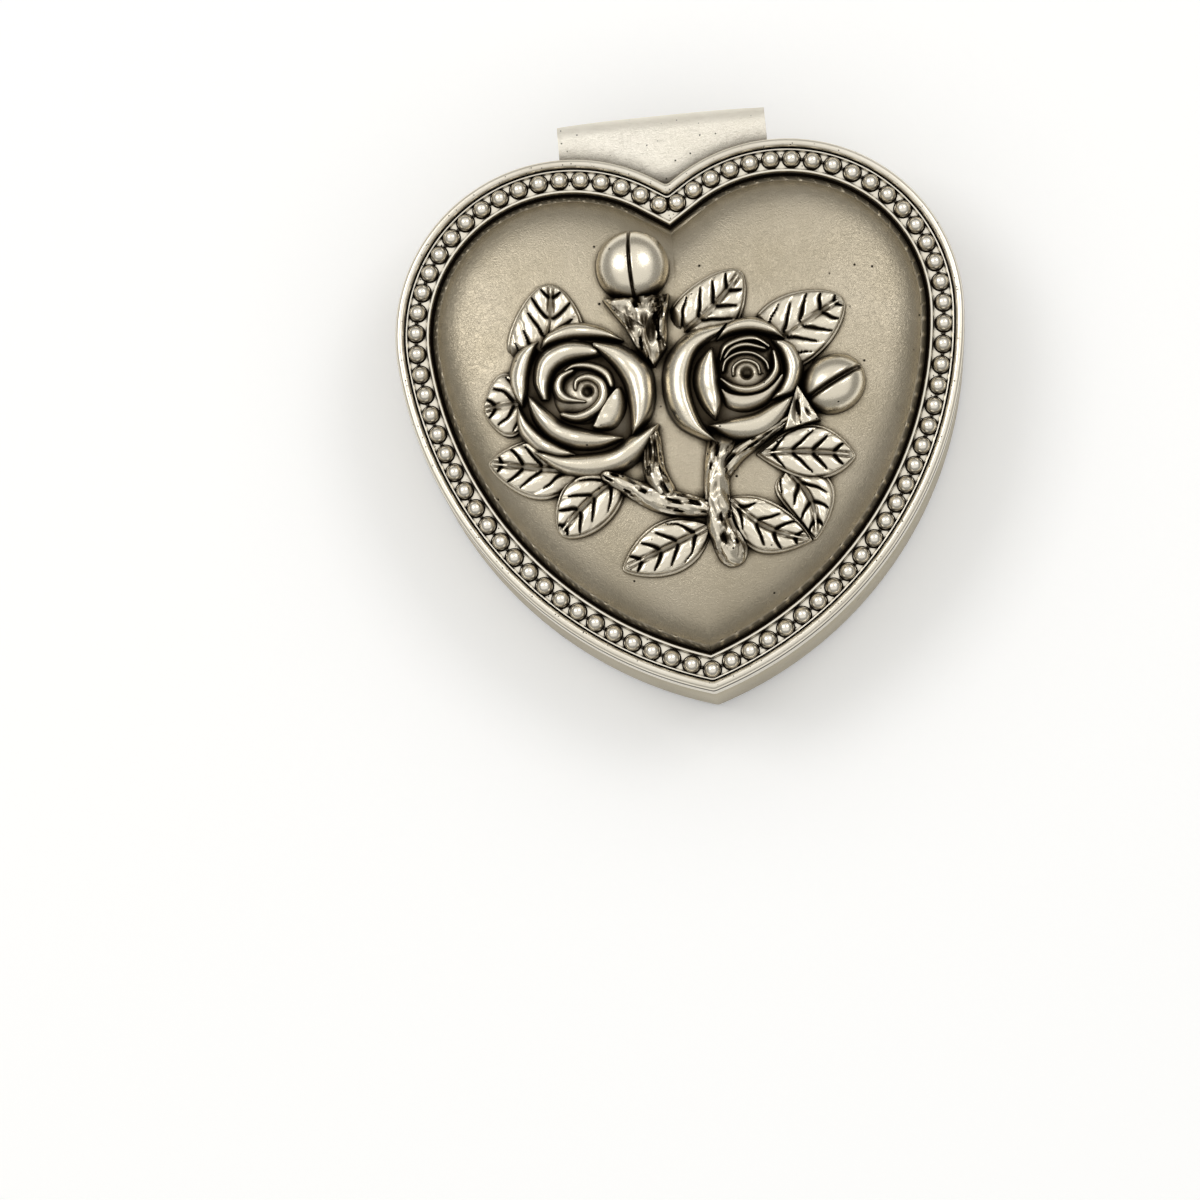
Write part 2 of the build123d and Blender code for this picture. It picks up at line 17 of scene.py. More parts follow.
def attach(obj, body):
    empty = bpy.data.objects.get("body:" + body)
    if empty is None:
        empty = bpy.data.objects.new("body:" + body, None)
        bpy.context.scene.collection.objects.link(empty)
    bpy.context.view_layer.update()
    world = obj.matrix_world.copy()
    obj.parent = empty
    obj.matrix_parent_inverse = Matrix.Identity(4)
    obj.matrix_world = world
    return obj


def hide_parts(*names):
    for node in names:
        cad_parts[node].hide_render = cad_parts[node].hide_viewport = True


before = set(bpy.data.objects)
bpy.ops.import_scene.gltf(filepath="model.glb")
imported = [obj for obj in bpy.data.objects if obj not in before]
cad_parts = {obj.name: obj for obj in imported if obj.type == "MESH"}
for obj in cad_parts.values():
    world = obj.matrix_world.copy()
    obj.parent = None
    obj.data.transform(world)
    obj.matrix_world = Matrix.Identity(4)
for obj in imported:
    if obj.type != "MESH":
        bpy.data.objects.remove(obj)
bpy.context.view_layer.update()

log = logging.getLogger("keepsake_box")

MM = 0.001
TINY = 1e-6
Points = list[Vector]


class Body(Enum):
    """The two bodies of the box that a piece can ride on."""

    BASE = "base"
    LID = "lid"


# ---------------------------------------------------------------- helpers


def linear(code: str) -> tuple[float, float, float, float]:
    """Turn an sRGB hex colour to linear.

    Args:
        code: Colour such as "#C8C0B0".

    Returns:
        Linear red, green, blue and an alpha of 1.
    """
    shares = [int(code[place:place + 2], 16) / 255 for place in (1, 3, 5)]
    red, green, blue = [s / 12.92 if s <= 0.04045 else ((s + 0.055) / 1.055) ** 2.4 for s in shares]
    return red, green, blue, 1.0


def smooth(low: float, high: float, value: float) -> float:
    """Ease from 0 at low to 1 at high.

    Args:
        low: Value that gives 0.
        high: Value that gives 1.
        value: Value to place between them.

    Returns:
        Share between 0 and 1.
    """
    share = min(max((value - low) / (high - low), 0.0), 1.0)
    return share * share * (3 - 2 * share)


def spline(stations: Sequence[Sequence[float]], count: int) -> list[list[float]]:
    """Run a smooth curve through stations of any number of values.

    Args:
        stations: Values at each station.
        count: Number of samples, ends included.

    Returns:
        The samples, evenly spread over the stations.
    """
    last = len(stations) - 1
    samples = []
    for step in range(count):
        place = step / (count - 1) * last
        index = min(int(place), last - 1)
        t = place - index
        before, start = stations[max(index - 1, 0)], stations[index]
        end, after = stations[index + 1], stations[min(index + 2, last)]
        samples.append([
            0.5 * (2 * b + (c - a) * t + (2 * a - 5 * b + 4 * c - d) * t * t + (3 * b - a - 3 * c + d) * t ** 3)
            for a, b, c, d in zip(before, start, end, after)
        ])
    return samples


def loft(rings: Sequence[Points], closed: bool = False) -> bmesh.types.BMesh:
    """Run a skin through rings of points, each with as many points as the first.

    Args:
        rings: Points of each ring in millimetres. A ring whose points coincide closes an end.
        closed: Whether the last ring joins the first.

    Returns:
        The skin with its doubles merged and its faces outwards.
    """
    skin = bmesh.new()
    ring = bmesh.ops.create_circle(skin, segments=len(rings[0]), radius=1.0)["verts"]
    edges = list(skin.edges)
    for vert, point in zip(ring, rings[0]):
        vert.co = point * MM
    for points in list(rings[1:]) + ([rings[0]] if closed else []):
        made = bmesh.ops.extrude_edge_only(skin, edges=edges)["geom"]
        fresh = {item for item in made if isinstance(item, bmesh.types.BMVert)}
        edges = [item for item in made if isinstance(item, bmesh.types.BMEdge) and fresh.issuperset(item.verts)]
        ring = [next(o for o in (e.other_vert(v) for e in v.link_edges) if o in fresh) for v in ring]
        for vert, point in zip(ring, points):
            vert.co = point * MM
    bmesh.ops.remove_doubles(skin, verts=skin.verts, dist=TINY)
    bmesh.ops.recalc_face_normals(skin, faces=skin.faces)
    return skin


def join(*parts: bmesh.types.BMesh) -> bmesh.types.BMesh:
    """Put several meshes in one.

    Args:
        *parts: Meshes, which are freed.

    Returns:
        One mesh that holds them all.
    """
    whole = bmesh.new()
    for part in parts:
        carrier = bpy.data.meshes.new("carrier")
        part.to_mesh(carrier)
        part.free()
        whole.from_mesh(carrier)
        bpy.data.meshes.remove(carrier)
    return whole


def add_piece(name: str, shape: bmesh.types.BMesh, finish: bpy.types.Material, body: Body, node: str,
              shade: Callable[[Vector], float] | None = None,
              speckle: Callable[[Vector], float] | None = None,
              wear_and_light: Callable[[Vector], float] | None = None) -> bpy.types.Object:
    """Turn a shape into a piece that rides on a body and stands for a node.

    Args:
        name: Name of the piece.
        shape: Mesh in metres, which is freed.
        finish: Material of the piece.
        body: Body that the piece rides on.
        node: Node that the piece stands for.
        shade: Share of patina and painted shade at a place in millimetres.
        speckle: Share of pits at a place in millimetres.
        wear_and_light: Share of the dark taken off at a place in millimetres: patina rubbed off worn places, painted
            shade kept off lit bead tops.

    Returns:
        The new object.
    """
    mesh = bpy.data.meshes.new(name)
    shape.to_mesh(mesh)
    shape.free()
    mesh.shade_smooth()
    mesh.set_sharp_from_angle(angle=radians(48))
    for title, rule in (("patina_and_shade", shade), ("speckle", speckle), ("wear_and_light", wear_and_light)):
        if rule:
            values = mesh.attributes.new(title, "FLOAT", "POINT").data
            for vert, value in zip(mesh.vertices, values):
                value.value = rule(vert.co / MM)
    mesh.materials.append(finish)
    piece = bpy.data.objects.new(name, mesh)
    bpy.context.scene.collection.objects.link(piece)
    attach(piece, body.value)
    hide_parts(node)
    log.info("%s: %d vertices for %s", name, len(mesh.vertices), node)
    return piece


def add_node(tree: bpy.types.NodeTree, kind: str, settings: dict[Any, Any] | None = None,
             links: dict[Any, bpy.types.NodeSocket] | None = None) -> bpy.types.Node:
    """Add a shader node with its settings and links.

    Args:
        tree: Tree that gets the node.
        kind: Type of the node without its ShaderNode prefix.
        settings: Values by property name, input name or input number.
        links: Sockets by input name or input number.

    Returns:
        The new node.
    """
    item = tree.nodes.new("ShaderNode" + kind)
    for key, value in (settings or {}).items():
        if isinstance(key, str) and hasattr(item, key):
            setattr(item, key, value)
        else:
            item.inputs[key].default_value = value
    for key, socket in (links or {}).items():
        tree.links.new(socket, item.inputs[key])
    return item


def scale_of(size: float) -> float:
    """Pattern scale for a feature of a size in millimetres."""
    return 1 / (size * MM)


# ---------------------------------------------------------------- finishes


@dataclass(frozen=True)
class AntiquedMetal:
    """White metal that was cast, darkened with a sulphur patina and rubbed bright again on its high places, with shade
    painted into its hollows and seams as well.
    """

    name: str
    bright: str
    tone: str
    brown: str = "#6B5C41"
    dark: str = "#17110A"
    brown_patina_and_shade: float = 0.75
    roughness: float = 0.3
    reach: float = 1.0
    seam: float = 0.4
    low: float = 0.55
    high: float = 0.9
    grain: float = 0.6
    grain_depth: float = 0.006
    pit: float = 1.4
    pit_share: float = 0.12
    stretch: tuple[float, float, float] = (1.0, 1.0, 1.0)

    def make(self) -> bpy.types.Material:
        """Build the material.

        Returns:
            A metal whose recesses are dark and whose ridges are bright, with fine brushing and casting pits.
        """
        material = bpy.data.materials.new(self.name)
        material.use_nodes = True
        tree = material.node_tree
        tree.nodes.clear()
        place = add_node(tree, "TexCoord").outputs["Object"]
        stretched = add_node(tree, "Mapping", {"Scale": self.stretch}, {"Vector": place}).outputs[0]
        # Curls left by the polishing mop
        curls = add_node(tree, "TexNoise", {"Scale": scale_of(self.grain), "Detail": 4.0, "Distortion": 2.5},
                         {"Vector": stretched}).outputs["Fac"]
        # Blotches of patina that were rubbed back unevenly
        blotch = add_node(tree, "TexNoise", {"Scale": scale_of(9.0), "Detail": 3.0}, {"Vector": place}).outputs["Fac"]
        # Pits where gas came out of the casting
        cells = add_node(tree, "TexVoronoi", {"Scale": scale_of(self.pit), "Randomness": 1.0}, {"Vector": place})
        chance = add_node(tree, "SeparateColor", {}, {"Color": cells.outputs["Color"]}).outputs[0]
        marks = add_node(tree, "Attribute", {"attribute_name": "speckle"}).outputs["Fac"]
        share = add_node(tree, "Math", {"operation": "ADD", 1: self.pit_share}, {0: marks}).outputs[0]
        chosen = add_node(tree, "Math", {"operation": "LESS_THAN"}, {0: chance, 1: share}).outputs[0]
        near = add_node(tree, "MapRange", {"From Min": 0.10, "From Max": 0.2, "To Min": 1.0, "To Max": 0.0},
                        {"Value": cells.outputs["Distance"]}).outputs[0]
        pits = add_node(tree, "Math", {"operation": "MULTIPLY"}, {0: chosen, 1: near}).outputs[0]
        # Patina settles where the surface is shut in, and the occlusion paints shade there as well
        open_share = add_node(tree, "AmbientOcclusion", {"samples": 8, "Distance": self.reach * MM}).outputs["AO"]
        rubbed = add_node(tree, "Math", {"operation": "MULTIPLY_ADD", 1: 0.16}, {0: curls, 2: open_share}).outputs[0]
        # Dark taken off again: patina rubbed off the worn crimps, painted shade kept off the lit bead tops
        kept = add_node(tree, "Attribute", {"attribute_name": "wear_and_light"}).outputs["Fac"]
        kept = add_node(tree, "Math", {"operation": "SUBTRACT", 0: 1.0}, {1: kept}).outputs[0]
        cavity = add_node(tree, "MapRange", {"From Min": self.low + 0.08, "From Max": self.high + 0.08,
                                             "To Min": 1.0, "To Max": 0.0}, {"Value": rubbed}).outputs[0]
        # A crisp black line where two surfaces meet: painted contact shade, with the patina in the seam
        contact = add_node(tree, "AmbientOcclusion", {"samples": 8, "Distance": self.seam * MM}).outputs["AO"]
        contact = add_node(tree, "MapRange", {"From Min": 0.5, "From Max": 0.78, "To Min": 1.0, "To Max": 0.0},
                           {"Value": contact}).outputs[0]
        cavity = add_node(tree, "Math", {"operation": "MAXIMUM"}, {0: cavity, 1: contact}).outputs[0]
        cavity = add_node(tree, "Math", {"operation": "MULTIPLY"}, {0: cavity, 1: kept}).outputs[0]
        # Patina drawn on the mesh, with painted shade on the beads and on the frame
        drawn = add_node(tree, "Attribute", {"attribute_name": "patina_and_shade"}).outputs["Fac"]
        deep = add_node(tree, "Math", {"operation": "MAXIMUM"}, {0: cavity, 1: drawn}).outputs[0]
        deep = add_node(tree, "Math", {"operation": "MAXIMUM", "use_clamp": True}, {0: deep, 1: pits}).outputs[0]
        body = add_node(tree, "Mix", {"data_type": "RGBA", 6: linear(self.bright), 7: linear(self.tone)},
                        {0: blotch}).outputs[2]
        # Brown on half-shut slopes and flanks: painted shade together with patina
        brown_patina_and_shade = add_node(tree, "MapRange", {"From Min": self.high - 0.2, "From Max": min(self.high + 0.15, 1.05),
                                           "To Min": self.brown_patina_and_shade, "To Max": 0.0}, {"Value": rubbed}).outputs[0]
        brown_patina_and_shade = add_node(tree, "Math", {"operation": "MULTIPLY"}, {0: brown_patina_and_shade, 1: kept}).outputs[0]
        body = add_node(tree, "Mix", {"data_type": "RGBA", 7: linear(self.brown)}, {0: brown_patina_and_shade, 6: body}).outputs[2]
        colour = add_node(tree, "Mix", {"data_type": "RGBA", 7: linear(self.dark)}, {0: deep, 6: body}).outputs[2]
        gloss = add_node(tree, "MapRange", {"To Min": self.roughness, "To Max": 0.62}, {"Value": deep}).outputs[0]
        worn = add_node(tree, "Math", {"operation": "MULTIPLY_ADD", 1: 0.12}, {0: curls, 2: gloss}).outputs[0]
        brushed = add_node(tree, "Bump", {"Strength": 1.0, "Distance": self.grain_depth * MM},
                           {"Height": curls}).outputs[0]
        pitted = add_node(tree, "Bump", {"Strength": 1.0, "Distance": 0.05 * MM, "invert": True},
                          {"Height": pits, "Normal": brushed}).outputs[0]
        surface = add_node(tree, "BsdfPrincipled", {"Metallic": 1.0},
                           {"Base Color": colour, "Roughness": worn, "Normal": pitted})
        add_node(tree, "OutputMaterial", {}, {"Surface": surface.outputs[0]})
        return material


@dataclass(frozen=True)
class Pile:
    """Woven velvet or pressed felt: short upright fibres that hold their sheen at grazing angles."""

    name: str
    colour: str
    shadow: str
    fibre: float
    nap: float
    sheen: float

    def make(self) -> bpy.types.Material:
        """Build the material.

        Returns:
            A matt cloth with a fine pile and broad strokes where it was brushed one way or the other.
        """
        material = bpy.data.materials.new(self.name)
        material.use_nodes = True
        tree = material.node_tree
        tree.nodes.clear()
        place = add_node(tree, "TexCoord").outputs["Object"]
        fibres = add_node(tree, "TexNoise", {"Scale": scale_of(self.fibre), "Detail": 2.0},
                          {"Vector": place}).outputs["Fac"]
        strokes = add_node(tree, "TexNoise", {"Scale": scale_of(self.nap), "Detail": 3.0, "Distortion": 1.2},
                           {"Vector": place}).outputs["Fac"]
        mixed = add_node(tree, "Math", {"operation": "MULTIPLY_ADD", 1: 0.5}, {0: fibres, 2: strokes}).outputs[0]
        share = add_node(tree, "MapRange", {"From Min": 0.45, "From Max": 1.0}, {"Value": mixed}).outputs[0]
        colour = add_node(tree, "Mix", {"data_type": "RGBA", 6: linear(self.shadow), 7: linear(self.colour)},
                          {0: share}).outputs[2]
        bump = add_node(tree, "Bump", {"Strength": 1.0, "Distance": 0.06 * MM}, {"Height": fibres}).outputs[0]
        surface = add_node(tree, "BsdfPrincipled", {"Roughness": 0.95, "Sheen Weight": self.sheen,
                                                    "Sheen Roughness": 0.4},
                           {"Base Color": colour, "Normal": bump})
        add_node(tree, "OutputMaterial", {}, {"Surface": surface.outputs[0]})
        return material


@dataclass(frozen=True)
class Finishes:
    """Every finish of the box."""

    # Cast and satin-polished: soft broad reflections, brown where the patina stayed and where shade is painted into the
    # hollows
    satin: AntiquedMetal = AntiquedMetal("satin white metal", "#BDB49F", "#A0967F", roughness=0.4, reach=1.6,
                                         low=0.35, high=0.8, grain=0.5, grain_depth=0.02, stretch=(1.0, 1.0, 6.0),
                                         pit=3.0, pit_share=0.02)
    # Polished after casting: paler, with fine pits, drag marks and a dark edge along the frame that is painted shade
    # with some patina
    tab: AntiquedMetal = AntiquedMetal("pale polished white metal", "#FBF6EA", "#EDE6D6", roughness=0.4, reach=3.0,
                                       seam=0.7, low=0.42, high=0.88, grain=0.6, grain_depth=0.08,
                                       stretch=(1.0, 2.5, 1.0), pit=0.75, pit_share=0.14, brown_patina_and_shade=0.75)
    # Turned bright on its ridges: narrow sharp glints over black lines of patina and painted shade
    frame_metal: AntiquedMetal = AntiquedMetal("polished cast moulding", "#F3EDDF", "#DDD4C1", roughness=0.24,
                                               reach=0.6, seam=0.3, low=0.35, high=0.66, grain=0.4, pit=0.55,
                                               pit_share=0.03, brown_patina_and_shade=0.4)
    # Rolled wire: smooth balls with a broad window glint, and painted brown shade on their flanks
    beads: AntiquedMetal = AntiquedMetal("polished beaded wire", "#F6F0E3", "#EAE2D2", brown="#74603C",
                                         dark="#1F160B", roughness=0.17, reach=0.6, seam=0.25, low=0.1, high=0.7,
                                         grain=6.0, grain_depth=0.0, pit_share=0.0, brown_patina_and_shade=0.9)
    # Mopped in small curls: a soft sheen, smudged dark round the relief with patina and painted shade
    dome: AntiquedMetal = AntiquedMetal("mop-brushed satin panel", "#BDB3A0", "#A29780", roughness=0.28, reach=1.5,
                                        low=0.3, high=0.78, grain=0.55, grain_depth=0.07, pit=1.2,
                                        pit_share=0.035, brown_patina_and_shade=0.75)
    # Cast relief rubbed back by hand: white crests, brown slopes, black gaps; slopes and gaps take painted shade with
    # the patina
    relief: AntiquedMetal = AntiquedMetal("rubbed cast relief", "#F2EAD8", "#DCD1BA", brown="#705C3B",
                                          roughness=0.2, reach=1.9,
                                          low=0.46, high=0.97, grain=0.7, grain_depth=0.012, pit=1.1,
                                          pit_share=0.10, brown_patina_and_shade=0.85)
    # Drawn wire: plain and grey
    pin: AntiquedMetal = AntiquedMetal("drawn steel wire", "#BDB8AE", "#A39D92", roughness=0.28, reach=0.6,
                                       low=0.3, high=0.8, grain=0.2, grain_depth=0.002, pit_share=0.0)
    velvet: Pile = Pile("wine velvet pile", "#5A1524", "#2C0710", 0.25, 7.0, 0.8)
    felt: Pile = Pile("pressed black felt", "#1D1C1C", "#0B0B0B", 0.35, 3.0, 0.25)


# ---------------------------------------------------------------- outline shared by every layer


@dataclass
class HeartOutline:
    """Outline of the heart: two long arcs, two lobes and a short straight shoulder beside the notch."""

    lobe_x: float = 15.1
    lobe_y: float = 13.7
    lobe_radius: float = 24.9
    side_radius: float = 56.6
    shoulder: float = 1.84
    tip_y: float = -38.3
    tip_round: float = 1.2
    notch_round: float = 0.8
    side_center: Vector = field(init=False)
    slope: float = field(init=False)
    spots: list[tuple[float, float]] = field(default_factory=list)

    def __post_init__(self) -> None:
        """Work out the centre of the long arc and the slope of the shoulder."""
        tip = Vector((0.0, self.tip_y))
        across = Vector((self.lobe_x, self.lobe_y)) - tip
        span = across.length
        along = (span ** 2 + self.side_radius ** 2 - (self.side_radius - self.lobe_radius) ** 2) / (2 * span)
        off = sqrt(self.side_radius ** 2 - along ** 2)
        self.side_center = tip + across * (along / span) + Vector((-across.y, across.x)) * (off / span)
        self.slope = (asin(self.lobe_x / hypot(self.lobe_radius, self.shoulder))
                      - atan2(self.shoulder, self.lobe_radius))

    def half(self, offset: float, tip_round: float, notch_round: float, fine: int = 1) -> Points:
        """Right half of the outline, from the tip to the notch.

        Args:
            offset: Distance outward from the outline.
            tip_round: Radius at the tip.
            notch_round: Radius in the notch.
            fine: Factor on the number of points.

        Returns:
            Points in the plane, as many for every offset.
        """
        side_r, lobe_r = self.side_radius + offset, self.lobe_radius + offset
        lobe = Vector((self.lobe_x, self.lobe_y))
        tip_center = Vector((0.0, self.side_center.y - sqrt((side_r - tip_round) ** 2 - self.side_center.x ** 2)))
        start = (tip_center - self.side_center).normalized()
        start_angle = atan2(start.y, start.x)
        join_angle = atan2(lobe.y - self.side_center.y, lobe.x - self.side_center.x)
        shoulder = lobe + Vector((-sin(self.slope), cos(self.slope))) * lobe_r
        notch_y = shoulder.y - shoulder.x * tan(self.slope)
        notch_center = Vector((0.0, notch_y + notch_round / cos(self.slope)))
        points = [tip_center + Vector((sin(a), -cos(a))) * tip_round
                  for a in (step / 5 * (pi / 2 + start_angle) for step in range(5))]
        steps = 44 * fine
        points += [self.side_center + Vector((cos(a), sin(a))) * side_r
                   for a in (start_angle + (join_angle - start_angle) * s / steps for s in range(steps))]
        steps, end_angle = 66 * fine, pi / 2 + self.slope
        points += [lobe + Vector((cos(a), sin(a))) * lobe_r
                   for a in (join_angle + (end_angle - join_angle) * s / steps for s in range(steps))]
        touch = notch_center + Vector((sin(self.slope), -cos(self.slope))) * notch_round
        points += [shoulder.lerp(touch, step / 3) for step in range(3)]
        points += [notch_center + Vector((sin(a), -cos(a))) * notch_round
                   for a in (self.slope * (1 - step / 4) for step in range(5))]
        return points

    def ring(self, offset: float, z: float, sharp: bool = False, fine: int = 1) -> Points:
        """Whole outline at a level.

        Args:
            offset: Distance outward from the outline.
            z: Level of the ring.
            sharp: Whether tip and notch keep nearly sharp corners.
            fine: Factor on the number of points.

        Returns:
            Points in space, anticlockwise from the tip.
        """
        tip_round, notch_round = (0.25, 0.2) if sharp else (self.tip_round, self.notch_round)
        right = self.half(offset, tip_round, notch_round, fine)
        left = [Vector((-point.x, point.y)) for point in right[-2:0:-1]]
        return [Vector((point.x, point.y, z)) for point in right + left]

    def depth(self, place: Vector) -> float:
        """Distance in plan from the outline."""
        if not self.spots:
            self.spots = [(x, y) for x, y in ((p.x, p.y) for p in self.half(0.0, 1.2, 0.8, fine=4))]
        return min(hypot(abs(place.x) - x, place.y - y) for x, y in self.spots)

    def disc(self, edge: Points, level: Callable[[float, float], float], steps: int, center: Vector) -> list[Points]:
        """Rings from an edge to a pole.

        Args:
            edge: Ring that the disc starts from.
            level: Height at a place in plan.
            steps: Number of rings, pole included.
            center: Pole in plan.

        Returns:
            The rings inside the edge, the pole last.
        """
        rings = []
        for step in range(1, steps + 1):
            spots = [point.xy.lerp(center, step / steps) for point in edge]
            rings.append([Vector((spot.x, spot.y, level(spot.x, spot.y))) for spot in spots])
        return rings


@dataclass
class Levels:
    """Heights that the layers share, and the sphere that the crown of the dome follows."""

    foot: float = 0.8
    floor: float = 2.4
    seam: float = 16.2
    web: float = 18.6
    seat: float = 19.9
    channel: float = 20.3
    crown: float = 25.9
    crown_radius: float = 237.0
    crown_y: float = 3.0

    def dome(self, x: float, y: float) -> float:
        """Height of the crown at a place in plan."""
        return self.crown - self.crown_radius + sqrt(self.crown_radius ** 2 - x ** 2 - (y - self.crown_y) ** 2)


OUTLINE = HeartOutline()
LEVELS = Levels()


# ---------------------------------------------------------------- box


@dataclass
class BaseShell:
    """Cast base: wall, floor, and a spigot inside the seam that centres the lid."""

    finish: AntiquedMetal
    wall: float = 1.8
    spigot_inset: float = 1.1
    spigot_height: float = 1.2
    foot_round: float = 0.9
    seam_round: float = 0.18

    def build(self) -> None:
        """Build the shell as one closed skin."""
        foot, seam, top = LEVELS.foot, LEVELS.seam, LEVELS.seam + self.spigot_height
        profile = [(-self.foot_round - 1.0, foot), (-self.foot_round, foot)]
        profile += [(-self.foot_round * (1 - sin(a)), foot + self.foot_round * (1 - cos(a)))
                    for a in (pi / 2 * step / 5 for step in range(1, 6))]
        profile += [(0.0, 5.0), (0.0, 10.0), (0.0, seam - self.seam_round), (-self.seam_round / 3, seam - 0.05),
                    (-self.seam_round, seam), (-self.spigot_inset, seam), (-self.spigot_inset, top - 0.15),
                    (-self.spigot_inset - 0.15, top), (-self.wall + 0.12, top), (-self.wall, top - 0.12),
                    (-self.wall, LEVELS.floor)]
        rings = [OUTLINE.ring(offset, z) for offset, z in profile]
        under = OUTLINE.disc(rings[0], lambda x, y: foot, 3, Vector((0, 0)))
        floor = OUTLINE.disc(rings[-1], lambda x, y: LEVELS.floor, 3, Vector((0, 0)))
        shape = loft(under[::-1] + rings + floor)
        add_piece("base_shell_cast", shape, self.finish.make(), Body.BASE, "base_shell")


@dataclass
class Linings:
    """Velvet inside the box and under the lid, and the felt that the box stands on."""

    velvet: Pile
    felt: Pile
    wall_inner: float = -2.85
    lining_outer: float = -1.85
    wall_top: float = 15.6
    pad_outer: float = -3.25
    pad_thickness: float = 2.2
    lid_pad_outer: float = -2.2
    lid_pad_thickness: float = 1.7
    crown_run: float = 5.0
    felt_inset: float = 1.6

    def pad(self, outer: float, low: float, high: float, crown: float, sign: int) -> bmesh.types.BMesh:
        """Crowned pad with soft edges and shallow puckers where the cloth is turned over its card.

        Args:
            outer: Offset of its edge.
            low: Level of the flat face that it lies on.
            high: Level of the top of its crown.
            crown: Rise of the crown; not used.
            sign: 1 when the crown faces up, -1 when it faces down.

        Returns:
            The closed pad.
        """
        span = abs(high - low)
        rings = [OUTLINE.ring(outer - 0.5, low)]
        for inset, share in ((0.0, 0.18), (0.05, 0.38), (0.3, 0.56), (0.8, 0.68), (1.6, 0.78), (2.8, 0.88),
                             (self.crown_run, 0.965)):
            ring = OUTLINE.ring(outer - inset, 0.0)
            for index, point in enumerate(ring):
                pucker = 0.06 * noise.noise(Vector((index * 0.35, inset, 3.0))) * smooth(3.0, 0.3, inset)
                point.z = low + sign * (span * share + pucker)
            rings.append(ring)
        top = [low + sign * span * 0.965 for _ in rings[-1]]
        edge = rings[-1]
        inner = []
        for step in range(1, 9):
            share = step / 8
            level = top[0] + sign * span * 0.035 * sin(pi / 2 * share)
            inner.append([Vector((*(point.xy * (1 - share)), level)) for point in edge])
        under = OUTLINE.disc(rings[0], lambda x, y: low, 3, Vector((0, 0)))
        return loft(under[::-1] + rings + inner)

    def build(self) -> None:
        velvet, felt = self.velvet.make(), self.felt.make()
        profile = [(self.lining_outer, LEVELS.floor), (self.lining_outer, self.wall_top - 0.25),
                   (self.lining_outer - 0.25, self.wall_top), (self.wall_inner + 0.3, self.wall_top),
                   (self.wall_inner, self.wall_top - 0.4), (self.wall_inner, 9.0), (self.wall_inner, LEVELS.floor)]
        strip = loft([OUTLINE.ring(offset, z) for offset, z in profile], closed=True)
        parts = [
            add_piece("wall_velvet", strip, velvet, Body.BASE, "wall_lining"),
            add_piece("floor_velvet_pad", self.pad(self.pad_outer, LEVELS.floor, LEVELS.floor + self.pad_thickness,
                                                   0.9, 1), velvet, Body.BASE, "floor_lining"),
            add_piece("lid_velvet_pad", self.pad(self.lid_pad_outer, LEVELS.web, LEVELS.web - self.lid_pad_thickness,
                                                 0.7, -1), velvet, Body.LID, "lid_lining"),
            add_piece("foot_felt_pad", self.felt_sheet(), felt, Body.BASE, "base_felt"),
        ]

    def felt_sheet(self) -> bmesh.types.BMesh:
        """Thin felt with a soft cut edge.

        Returns:
            The closed sheet.
        """
        outer, top = -self.felt_inset, LEVELS.foot
        rings = [OUTLINE.ring(offset, z) for offset, z in ((outer - 0.3, 0.0), (outer - 0.06, 0.08), (outer, 0.25),
                                                           (outer, top - 0.2), (outer - 0.2, top))]
        under = OUTLINE.disc(rings[0], lambda x, y: 0.0, 3, Vector((0, 0)))
        over = OUTLINE.disc(rings[-1], lambda x, y: top, 3, Vector((0, 0)))
        return loft(under[::-1] + rings + over)


@dataclass
class LidFrame:
    """Cast frame of the lid: skirt, round outer moulding, bead channel, thin lip and the ledge for the dome."""

    finish: AntiquedMetal
    skirt: float = 0.8
    moulding: float = 1.3
    moulding_rise: float = 1.2
    ridge_outer: float = 1.42
    ridge_width: float = 0.34
    lip_outer: float = 4.36
    lip_inner: float = 4.86
    lip_rise: float = 0.9
    frame_inner: float = 7.96

    def build(self) -> None:
        """Build the frame as one closed profile run round the heart."""
        channel, web = LEVELS.channel, LEVELS.web
        half = self.moulding / 2
        profile = [(-self.skirt, web), (-self.skirt, LEVELS.seam), (-0.18, LEVELS.seam), (0.0, LEVELS.seam + 0.18),
                   (0.0, 18.2), (0.0, 19.6), (0.0, 20.2)]
        base = channel - 0.1
        profile += [(-half + half * cos(a), base + (channel + self.moulding_rise - base) * sin(a) ** 0.5)
                    for a in (pi * step / 14 for step in range(1, 14))]
        profile += [(-self.moulding, base), (-self.ridge_outer, base)]
        low, width = channel + 0.55, self.ridge_width
        profile += [(-self.ridge_outer, low - 0.2), (-self.ridge_outer - 0.25 * width, low),
                    (-self.ridge_outer - 0.7 * width, low - 0.02), (-self.ridge_outer - width, low - 0.25),
                    (-self.ridge_outer - width - 0.05, channel)]
        profile += [(-self.lip_outer + 0.02, channel), (-self.lip_outer, channel + self.lip_rise - 0.2),
                    (-self.lip_outer - 0.12, channel + self.lip_rise),
                    (-self.lip_inner + 0.14, channel + self.lip_rise),
                    (-self.lip_inner, channel + self.lip_rise - 0.22), (-self.lip_inner, LEVELS.seat),
                    (-self.frame_inner, LEVELS.seat), (-self.frame_inner, web)]
        shape = loft([OUTLINE.ring(offset, z, sharp=offset < -3) for offset, z in profile], closed=True)

        def shade(place: Vector) -> float:
            """Painted shade as a dark line on the outer slope of the moulding; patina at its outer foot, inside it, and
            in the groove within the lip.
            """
            if place.z < channel - 0.05:
                return 1.0 if place.z > LEVELS.seat - 0.05 else 0.0
            return 1.0 if place.z < channel + 0.75 and OUTLINE.depth(place) < 0.17 else 0.0

        def speckle(place: Vector) -> float:
            """Pits on the channel floor and on the inner slope of the moulding."""
            if abs(place.z - channel) < 0.02:
                return 0.35
            return 0.85 if place.z > channel + 0.3 and 0.6 < OUTLINE.depth(place) < 1.25 else 0.0

        add_piece("lid_frame_cast", shape, self.finish.make(), Body.LID, "lid_frame", shade, speckle)


